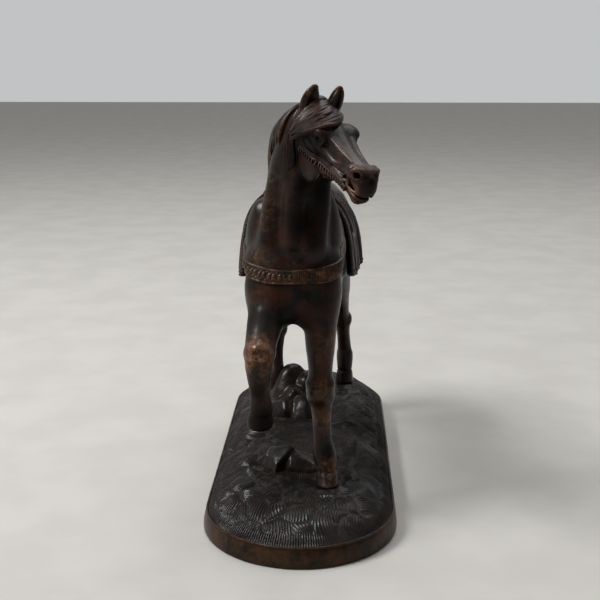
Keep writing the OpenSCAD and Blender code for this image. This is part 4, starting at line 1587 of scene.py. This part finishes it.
def make_girth(field):
    """The strap under the belly: woven, with a cord along each edge and one along the middle."""
    angles = np.linspace(-176, -4, dense(420))
    grid, offsets = strap_grid(field, GIRTH_CENTRE, np.array([1.0, 0, 0]), np.array([0, 0, 1.0]),
                               angles, GIRTH_HALF_W, dense(26))
    grid, normals = laid_on(field, grid, 4)
    u = offsets / GIRTH_HALF_W + 0 * angles[:, None]
    s = run_of(grid)[:, None]
    weave = 0.14 * np.sin(math.pi * s / 0.8) * np.sin(math.pi * offsets / 0.9)
    cords = 0.4 * cord(u, 0.82, 0.07) + 0.4 * cord(u, -0.82, 0.07) + 0.22 * cord(u, 0, 0.06)
    top = (GIRTH_T + weave + cords) * edge_round(u)
    piece = shell("belly_strap", grid, normals, top, 0 * top + SUNK)
    ridge_layer(piece, weave + cords, 1.4, 0.2)
    return piece


CHEEK_TILT = -1.5
CHEEK_MIDDLE = np.array([0, -0.425, -0.208])
CHEEK_RUN = 0.335                       # half the length, in head lengths
CHEEK_HALF_W = 1.65                     # half the width of the strap itself, in millimetres
TEETH_REACH = 4.1                       # how far down the teeth go
TOOTH_PITCH = 2.5


def side_name(side):
    return "left" if side > 0 else "right"


def cheek_strap(field, side):
    """A strap across the cheek to the corner of the mouth, with a comb of short teeth below it."""
    along = lean(CHEEK_TILT) @ [0, -1.0, 0]
    across = lean(CHEEK_TILT) @ [0, 0, 1.0]
    t = np.linspace(-CHEEK_RUN, CHEEK_RUN, dense(300))
    w = np.linspace(-TEETH_REACH, 1.9, dense(42))
    starts = CHEEK_MIDDLE + t[:, None, None] * along + (w / HEAD_L)[None, :, None] * across
    starts = POLL + (starts * HEAD_L) @ HEAD_TURN.T
    ray = HEAD_TURN @ [side, 0, 0]
    flat = starts.reshape(-1, 3)
    grid = march(field, flat, np.broadcast_to(ray, flat.shape), 30, 0.3).reshape(starts.shape)
    grid, normals = laid_on(field, grid, 5)
    s = run_of(grid)[:, None]
    u = (w[None, :] + 0.1) / CHEEK_HALF_W
    strap = (0.95 + 0.35 * cord(u, 0.72, 0.16) + 0.35 * cord(u, -0.72, 0.16)) * (np.abs(u) < 1)
    strap = strap * np.sqrt(np.clip(1 - u ** 8, 0, 1))
    from_tooth = np.abs((s / TOOTH_PITCH) % 1 - 0.5) * 2
    tips = np.clip((w[None, :] + TEETH_REACH) / 0.4, 0, 1)
    teeth = 1.5 * np.clip((0.6 - from_tooth) / 0.2, 0, 1) * tips * (w[None, :] < -1.6)
    raised = np.maximum(strap, teeth)
    top = raised - 0.35 * (raised < 0.05)
    piece = shell("cheek_strap_" + side_name(side), grid, normals, top, 0 * top + SUNK)
    ridge_layer(piece, top, 1.1, 0.72)
    return piece


THROAT_HALF_W = 1.9
THROAT_HALF_ARC = 146                   # degrees, from the poll to each end


def make_throat_strap(field):
    """The band over the poll, behind the ears and the cheeks, with its ends under the throat."""
    angles = np.linspace(90 - THROAT_HALF_ARC, 90 + THROAT_HALF_ARC, dense(380))
    first = HEAD_TURN @ [1.0, 0, 0]
    second = HEAD_TURN @ lean(-21) @ [0, 0, 1.0]
    centre = in_head([0, -0.012, -0.2])[0]
    grid, offsets = strap_grid(field, centre, first, second, angles, THROAT_HALF_W, dense(16))
    grid, normals = laid_on(field, grid, 6)
    u = offsets / THROAT_HALF_W + 0 * angles[:, None]
    edges = 0.3 * cord(u, 0.7, 0.16) + 0.3 * cord(u, -0.7, 0.16)
    ends = np.clip((THROAT_HALF_ARC - np.abs(angles - 90)) / 5, 0, 1)[:, None] ** 0.5
    top = (1.0 + edges) * edge_round(u) * ends
    piece = shell("throat_strap", grid, normals, top, 0 * top + SUNK)
    ridge_layer(piece, edges, 1.4, 0.1)
    return piece


def circle(count, first, second):
    """Points round a circle of radius 1 in the plane of two directions."""
    angles = np.linspace(0, 2 * math.pi, count, endpoint=False)
    return np.outer(np.cos(angles), first) + np.outer(np.sin(angles), second)


def hoop(name, path, radius, sides=14):
    """A round bar along a path, joined to its own start."""
    ahead = unit(np.roll(path, -1, 0) - np.roll(path, 1, 0))
    normal = unit(np.cross(ahead[0], [0.3, 0.5, 0.81]))
    rings = []
    for point, forward in zip(path, ahead):
        normal = unit(normal - forward * (normal @ forward))
        rings.append(point + radius * circle(sides, normal, np.cross(forward, normal)))
    piece = ring_mesh(name, rings, closed=True)
    layer(piece, "ridge", np.full(len(piece.data.vertices), 0.2))
    return piece


MOUTH_CORNER = np.array([0, -0.76, -0.165])
BIT_RADIUS = 3.4
BIT_BAR_RADIUS = 0.72


def bit_ring(field, side):
    """The ring at a corner of the mouth."""
    ray = HEAD_TURN @ [side, 0, 0]
    start = in_head(MOUTH_CORNER)[0][None, :]
    middle = march(field, start, ray[None, :], 30, 0.3)[0] + ray * 0.7
    plane = [HEAD_TURN @ lean(-8) @ v for v in ([0, 1.0, 0], [0, 0, 1.0])]
    path = middle + BIT_RADIUS * circle(40, *plane)
    return hoop("bit_ring_" + side_name(side), path, BIT_BAR_RADIUS)


# Half outline of the cloth: distance from the middle and drop below the back
CLOTH_PROFILE = [[0, 0], [13, -2.5], [22.5, -9], [28.5, -18], [31.5, -28], [33.2, -43], [34, -55]]
CLOTH_FRONT, CLOTH_REAR = -46, 34
CLOTH_FLARE = 0.13
CLOTH_T = 2.0
LATTICE = 4.6                           # size of the diamonds across
BORDER_W = 5.2


def cloth_curve(columns):
    """The cloth's whole profile at even steps, and the distance of each step from the middle."""
    half = spline(CLOTH_PROFILE, 12)
    run = np.concatenate([[0], np.cumsum(np.linalg.norm(np.diff(half, axis=0), axis=1))])
    at = np.linspace(0, run[-1], columns)
    half = np.column_stack([np.interp(at, run, half[:, 0]), np.interp(at, run, half[:, 1])])
    both = np.vstack([half[:0:-1] * [-1, 1], half])
    return both, np.concatenate([-at[:0:-1], at])


def back_line(ys):
    """The middle of the horse's back, and its height, at places along it."""
    trunk = spline(TRUNK, 8)
    middles = np.interp(ys, trunk[:, 1], trunk[:, 0])
    return middles, np.interp(ys, trunk[:, 1], trunk[:, 2] + trunk[:, 5]) + GROUND


def cloth_surface(ys, curve, run, folds=1.0):
    """Points of the cloth's underside for rows of y and columns of a profile."""
    middles, tops = back_line(ys)
    widest = CLOTH_PROFILE[-1][0]
    side = np.abs(curve[:, 0]) / widest
    y = ys[:, None]
    flare = 1 + CLOTH_FLARE * side * (y - CLOTH_FRONT) / (CLOTH_REAR - CLOTH_FRONT)
    sway = np.where(run >= 0, 0.0, 1.7)
    wave = (1.25 * np.sin(2 * math.pi * y / 12.5 + 0.9 * np.sin(y / 8) + sway)
            + 0.5 * np.sin(2 * math.pi * y / 5.6 + 2 * sway + 1.4 * side))
    hang = np.clip((np.abs(run) - 26) / 30, 0, 1) ** 1.2
    x = curve[:, 0] * flare + np.sign(run) * folds * wave * hang
    hem = 1.1 * np.sin(2 * math.pi * y / 26 + sway) * hang ** 3
    z = tops[:, None] + 0.6 + curve[:, 1] + hem * folds
    return np.stack([middles[:, None] + x, y + 0 * x, z], axis=-1)


def grid_normals(grid):
    """Directions out of a grid of points, upwards in its middle."""
    down = np.gradient(grid, axis=0)
    over = np.gradient(grid, axis=1)
    normals = unit(np.cross(over, down))
    middle = normals[grid.shape[0] // 2, grid.shape[1] // 2]
    return normals if middle[2] > 0 else -normals


def diamonds(run, y):
    """Raised lines that cross in diamonds, with a stud at each crossing."""
    a = (np.abs(run) + y) / LATTICE % 1 - 0.5
    b = (np.abs(run) - y) / LATTICE % 1 - 0.5
    lines = np.maximum(cord(a, 0, 0.13), cord(b, 0, 0.13))
    return 0.42 * lines + 0.35 * np.exp(-(a ** 2 + b ** 2) / 0.03)


def cloth_relief(run, y):
    """What stands up on the cloth, and how far inside its edge each place lies."""
    from_hem = np.abs(run).max() - np.abs(run) + 0 * y
    from_end = np.minimum(y - CLOTH_FRONT, CLOTH_REAR - y) + 0 * run
    inset = np.minimum(from_hem, from_end)
    upper = np.clip((46 - np.abs(run)) / 6, 0, 1)
    lower = np.clip((np.abs(run) - 42) / 5, 0, 1)
    pleats = 0.3 * stripes(y / 2.1 + 0.5 * np.sin(np.abs(run) / 7), 1)
    relief = np.clip((inset - BORDER_W) / 0.5, 0, 1) * (upper * diamonds(run, y) + lower * pleats)
    # Beads between two cords along the border
    along = np.where(from_hem < from_end, y, np.abs(run))
    relief += 0.75 * bead_row(along, inset, 2.3, 1.05, 3.1)
    relief += 0.5 * cord(inset, 4.9, 0.3) + 0.5 * cord(inset, 1.1, 0.35)
    return relief, inset


def make_cloth():
    """A cast cloth: diamonds over the upper part, hanging folds below and a beaded border."""
    curve, run = cloth_curve(dense(190))
    ys = np.linspace(CLOTH_FRONT, CLOTH_REAR, dense(260))
    grid = cloth_surface(ys, curve, run)
    relief, inset = cloth_relief(run, ys[:, None])
    top = CLOTH_T * np.clip(inset / 0.25 + 0.3, 0, 1) ** 0.5 + relief
    piece = shell("cloth", grid, grid_normals(grid), top, 0.2 * np.clip(1 - inset / 0.9, 0, 1))
    ridge_layer(piece, relief, 1.5, 0.3)
    return piece


# Against distance along the back: height of the seat's middle, and reach of the skirts
SADDLE_RISE = [[-42, 2], [-39, 8.6], [-36, 9.4], [-32, 6.6], [-26, 3.4], [-14, 2],
               [-3, 3.2], [4, 7.2], [9, 9.4], [12, 7.5], [14, 3]]
SADDLE_REACH = [[-42, 14], [-38, 24], [-33, 34], [-24, 46], [-12, 49], [-2, 44],
                [6, 31], [11, 21], [14, 14]]
SADDLE_FRONT, SADDLE_REAR = -42, 14
SEAT_HALF_W = 20


def make_saddle():
    """A saddle on the cloth: pommel, seat, cantle, and a skirt with a rolled edge and stitching."""
    ys = np.linspace(SADDLE_FRONT, SADDLE_REAR, dense(230))
    rise = np.interp(ys, *np.array(SADDLE_RISE).T)[:, None]
    reach = soft_rows(np.interp(ys, *np.array(SADDLE_REACH).T), 6)[:, None]
    at = reach * np.linspace(-1, 1, dense(210))
    curve, run = cloth_curve(160)
    cloth = cloth_surface(ys, curve, run, folds=0.0)
    grid = np.stack([np.stack([np.interp(place, run, row[:, axis]) for axis in range(3)], axis=-1)
                     for place, row in zip(at, cloth)])
    seat = rise * (1 - np.clip(np.abs(at) / SEAT_HALF_W, 0, 1) ** 1.7)
    from_end = np.minimum(ys - SADDLE_FRONT, SADDLE_REAR - ys)[:, None]
    inset = np.minimum(reach - np.abs(at), 1.4 * from_end)
    skirt = CLOTH_T + 0.4 + 1.2 * edge_round(np.clip(1 - inset / 2.4, 0, 1), 4)
    roll = 0.75 * cord(inset, 1.3, 0.75)
    stitch = 0.25 * cord(inset, 3.4, 0.28) * (np.sin(math.pi * (at + ys[:, None]) / 0.7) > -0.2)
    panel = 0.4 * np.clip((np.abs(at) - 21) / 1.2, 0, 1) * np.clip((inset - 6) / 1.2, 0, 1)
    top = skirt + seat + roll + stitch - panel
    piece = shell("saddle_seat", grid, grid_normals(grid), top, 0 * top + 1.4)
    ridge_layer(piece, roll + stitch + 0.04 * seat, 1.2, 0.3)
    return piece


# ---------- Putting it together ----------

NECK_JOINT = ([-3, -70, 153 + GROUND], lean(38) @ [0, 0, 1])
POLL_JOINT = (in_head([0, 0.06, 0])[0], HEAD_TURN @ lean(-22) @ [0, -1, 0])
THROAT_JOINT = ([0, -104, 183 + GROUND], lean(31) @ [0, 0, 1])
FORELEG_TOP = 98 + GROUND
FORELEG_REAR = -60
BODY_MIDDLE = -4
FOREARM_JOINT = ([-19, -90, 104 + GROUND], lean(-30) @ [0, 0, -1])
HIND_TOP = 95 + GROUND
HIND_FRONT = 32
HIND_MIDDLE = -0.5
FLOOR_OF_HOOVES = GROUND - 0.7


# Each room is a test for the points that belong to one casting

def left_fore_room(p):
    return (p[:, 0] > BODY_MIDDLE) & (p[:, 1] < FORELEG_REAR) & (p[:, 2] < FORELEG_TOP)


def right_fore_room(p):
    return (p[:, 0] < BODY_MIDDLE) & (p[:, 1] < FORELEG_REAR) & side_of(*FOREARM_JOINT)(p)


def hind_room(p):
    return (p[:, 1] > HIND_FRONT) & (p[:, 2] < HIND_TOP)


def head_room(p):
    return side_of(*POLL_JOINT)(p) & side_of(*THROAT_JOINT)(p)


LEVEL = [0, 0, 1]
ACROSS = [1, 0, 0]
ALONG = [0, 1, 0]
LEG_PLANES = [([0, 0, FORELEG_TOP], LEVEL), ([0, FORELEG_REAR, 0], ALONG), ([BODY_MIDDLE, 0, 0], ACROSS)]
HIND_PLANES = [([0, 0, HIND_TOP], LEVEL), ([0, HIND_FRONT, 0], ALONG), ([HIND_MIDDLE, 0, 0], ACROSS)]
SOLE_PLANE = [([0, 0, FLOOR_OF_HOOVES], LEVEL)]


def standing(room):
    """A room that also ends just below the ground, inside its casting."""
    return lambda p: room(p) & (p[:, 2] > FLOOR_OF_HOOVES)


def sculpt_head_and_neck(field):
    sculpt_body(field)
    sculpt_head(field)


pieces = {}


def adopt(piece, node):
    """Puts a piece in the place of its CAD node, riding on the whole statuette."""
    pieces[piece.name] = piece
    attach(piece, "root")
    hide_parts(node)


def build(name, node, voxel, sculpt, planes=(), keep=None, margin=8):
    """Casts a piece round its CAD node's box, and puts it in the node's place."""
    adopt(cast(name, box_mm(node), voxel, sculpt, planes, keep, margin), node)

build("body", "barrel", 0.85, sculpt_body,
      [NECK_JOINT, FOREARM_JOINT] + LEG_PLANES + HIND_PLANES[:2],
      lambda p: ~side_of(*NECK_JOINT)(p) & ~left_fore_room(p) & ~right_fore_room(p) & ~hind_room(p))
build("neck_casting", "neck", 0.62, sculpt_head_and_neck,
      [NECK_JOINT, POLL_JOINT, THROAT_JOINT],
      lambda p: side_of(*NECK_JOINT)(p) & ~head_room(p))
build("head_casting", "head", 0.4, sculpt_head_and_neck,
      [POLL_JOINT, THROAT_JOINT], head_room)
build("foreleg_left", "left_foreleg", 0.55, sculpt_body, LEG_PLANES + SOLE_PLANE, standing(left_fore_room))
build("foreleg_right", "right_foreleg", 0.55, sculpt_body, [FOREARM_JOINT] + LEG_PLANES[1:], right_fore_room)
build("hindleg_left", "left_hind_leg", 0.55, sculpt_body, HIND_PLANES + SOLE_PLANE,
      standing(lambda p: hind_room(p) & (p[:, 0] > HIND_MIDDLE)))
build("hindleg_right", "right_hind_leg", 0.55, sculpt_body, HIND_PLANES + SOLE_PLANE,
      standing(lambda p: hind_room(p) & (p[:, 0] < HIND_MIDDLE)))
build("ear_left", "left_ear", 0.3, lambda f: sculpt_ear(f, 1))
build("ear_right", "right_ear", 0.3, lambda f: sculpt_ear(f, -1))
build("mane_hair", "mane", 0.42, sculpt_mane)
build("forelock_hair", "forelock", 0.3, sculpt_forelock, margin=13)
build("tail_hair", "tail", 0.5, sculpt_tail)
build("rock_front", "front_rock", 0.5, sculpt_rocks(FRONT_ROCKS))
build("rock_rear", "rear_rock", 0.6, sculpt_rocks(REAR_ROCKS))


def casting_near(nodes, sculpt, voxel, margin):
    """The field of a casting round some CAD pieces that are strapped onto it."""
    boxes = [box_mm(node) for node in nodes]
    low = np.min([box[0] for box in boxes], axis=0) - margin
    high = np.max([box[1] for box in boxes], axis=0) + margin
    field = Field(low, high, voxel)
    sculpt(field)
    field.smooth(SMOOTHING_ROUNDS)
    return field


chest = casting_near(("breast_collar", "girth"), sculpt_body, 1.0, 8)
poll = casting_near(("bridle",), sculpt_head_and_neck, 0.6, 6)
adopt(make_collar(chest), "breast_collar")
adopt(make_girth(chest), "girth")
adopt(make_cloth(), "saddle_cloth")
adopt(make_saddle(), "saddle")
for side in (-1, 1):
    adopt(cheek_strap(poll, side), "bridle")
    adopt(bit_ring(poll, side), "bit_rings")
adopt(make_throat_strap(poll), "bridle")
adopt(make_ground(), "ground_casting")
adopt(make_band(), "plinth_band")


# ---------- Finishes ----------

FINISHES = {
    "horse_patina": patina("horse_bronze"),
    "worn_patina": patina("rubbed_bronze", wear=0.5, red=0.3),
    "hair_patina": patina("hair_bronze", wear=0.45, gloss=0.34),
    "tack_patina": patina("tack_bronze", wear=0.65, gloss=0.32, mottle=6),
    "ground_patina": patina("ground_bronze", brown=GROUND_BROWN, copper=STONE_GREY, wear=1.2,
                            second=STONE_BROWN, gloss=0.27, grain=0.05, mottle=7, red=0.1),
    "band_patina": patina("band_bronze", copper=AMBER, wear=1.1, gloss=0.33, grain=0.08, mottle=13, red=0.2),
}
# Each piece: its material slot, and how rubbed, red and cold it is all over
TACK = ["tack_patina", 0.06, 0.1, 0]
SLOTS = {
    "body": ["horse_patina", 0, 0, 0],
    "neck_casting": ["horse_patina", 0, 0, 0],
    "head_casting": ["horse_patina", 0.04, 0, 0],
    "foreleg_left": ["horse_patina", 0.03, 0.2, 0],
    "foreleg_right": ["worn_patina", 0.02, 0.2, 0],
    "hindleg_left": ["horse_patina", 0, 0, 0],
    "hindleg_right": ["horse_patina", 0, 0, 0],
    "ear_left": ["worn_patina", 0.04, 0.2, 0],
    "ear_right": ["worn_patina", 0.08, 0.5, 0],
    "mane_hair": ["hair_patina", 0.04, 0.4, 0],
    "forelock_hair": ["hair_patina", 0.03, 0.6, 0.2],
    "tail_hair": ["hair_patina", 0.1, 0.1, 0],
    "rock_front": ["ground_patina", 0, 0, 0.2],
    "rock_rear": ["ground_patina", 0, 0, 0],
    "ground": ["ground_patina", 0.02, 0, 0],
    "band": ["band_patina", 0.22, 0.2, 0],
    "breast_strap": ["tack_patina", 0.25, 0.5, 0],
}
for name, piece in pieces.items():
    slot, rub_and_highlight, tone, cold = SLOTS.get(name, TACK)
    paint(piece, rub_and_highlight, tone, cold)
    piece.data.materials.append(FINISHES[slot])
bare_brass = brass("turned_brass")
for node in ("hoof_studs", "stud_washers", "stud_nuts"):
    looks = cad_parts[node].data.materials
    looks.clear()
    looks.append(bare_brass)


# ---------- Studio ----------

FLOOR_LIGHT = (0.43, 0.415, 0.388)
FLOOR_DARK = (0.4, 0.385, 0.36)


def lay_floor(low, high, material):
    """A flat floor at height 0 between two corners, in metres."""
    (x0, y0), (x1, y1) = low, high
    mesh = bpy.data.meshes.new("floor")
    mesh.from_pydata([(x0, y0, 0), (x1, y0, 0), (x1, y1, 0), (x0, y1, 0)], [], [(0, 1, 2, 3)])
    piece = placed("floor", mesh)
    piece.data.materials.append(material)


def soft_light(name, place, aim, size, watts):
    """A square lamp of a size in metres, aimed from one place at another."""
    light = bpy.data.lights.new(name, "AREA")
    light.shape = "SQUARE"
    light.size = size
    light.energy = watts
    lamp = placed(name, light)
    lamp.location = place
    lamp.rotation_euler = (Vector(aim) - Vector(place)).to_track_quat("-Z", "Y").to_euler()


def studio_air(dim, bright):
    """Surrounding light, bright above and behind the statuette, dim in front and to its right."""
    world = bpy.data.worlds.new("studio_air")
    bpy.context.scene.world = world
    world.use_nodes = True
    tree = world.node_tree
    direction = tree.nodes.new("ShaderNodeTexCoord")
    towards = tree.nodes.new("ShaderNodeVectorMath")
    towards.operation = "DOT_PRODUCT"
    towards.inputs[1].default_value = (-0.35, 1, 1)
    tree.links.new(direction.outputs["Generated"], towards.inputs[0])
    fade = tree.nodes.new("ShaderNodeMapRange")
    fade.interpolation_type = "SMOOTHSTEP"
    fade.inputs["From Min"].default_value = -0.7
    fade.inputs["From Max"].default_value = 0.8
    fade.inputs["To Min"].default_value = dim
    fade.inputs["To Max"].default_value = bright
    tree.links.new(towards.outputs["Value"], fade.inputs["Value"])
    background = tree.nodes["Background"]
    background.inputs["Color"].default_value = (0.97, 0.99, 1, 1)
    tree.links.new(fade.outputs["Result"], background.inputs["Strength"])


def set_camera():
    """The photograph's view: low in front of the chest, and a little to the right."""
    camera = placed("camera", bpy.data.cameras.new("camera"))
    camera.data.lens = 60
    camera.data.sensor_width = 36
    camera.location = (0.0216, -0.672, 0.282)
    camera.rotation_euler = (math.radians(76.4), 0, math.radians(2.17))
    bpy.context.scene.camera = camera


lay_floor((-4, -3), (4, 6), matte("floor_paint", FLOOR_LIGHT, FLOOR_DARK, 60))
soft_light("key", place=(-1.1, -0.35, 1.5), aim=(0, -0.03, 0.14), size=0.6, watts=33)
soft_light("top", place=(0.2, 0.6, 1.8), aim=(0, 0, 0.1), size=1.3, watts=17)
studio_air(dim=0.07, bright=0.55)
set_camera()
bpy.context.scene.view_settings.view_transform = "Standard"
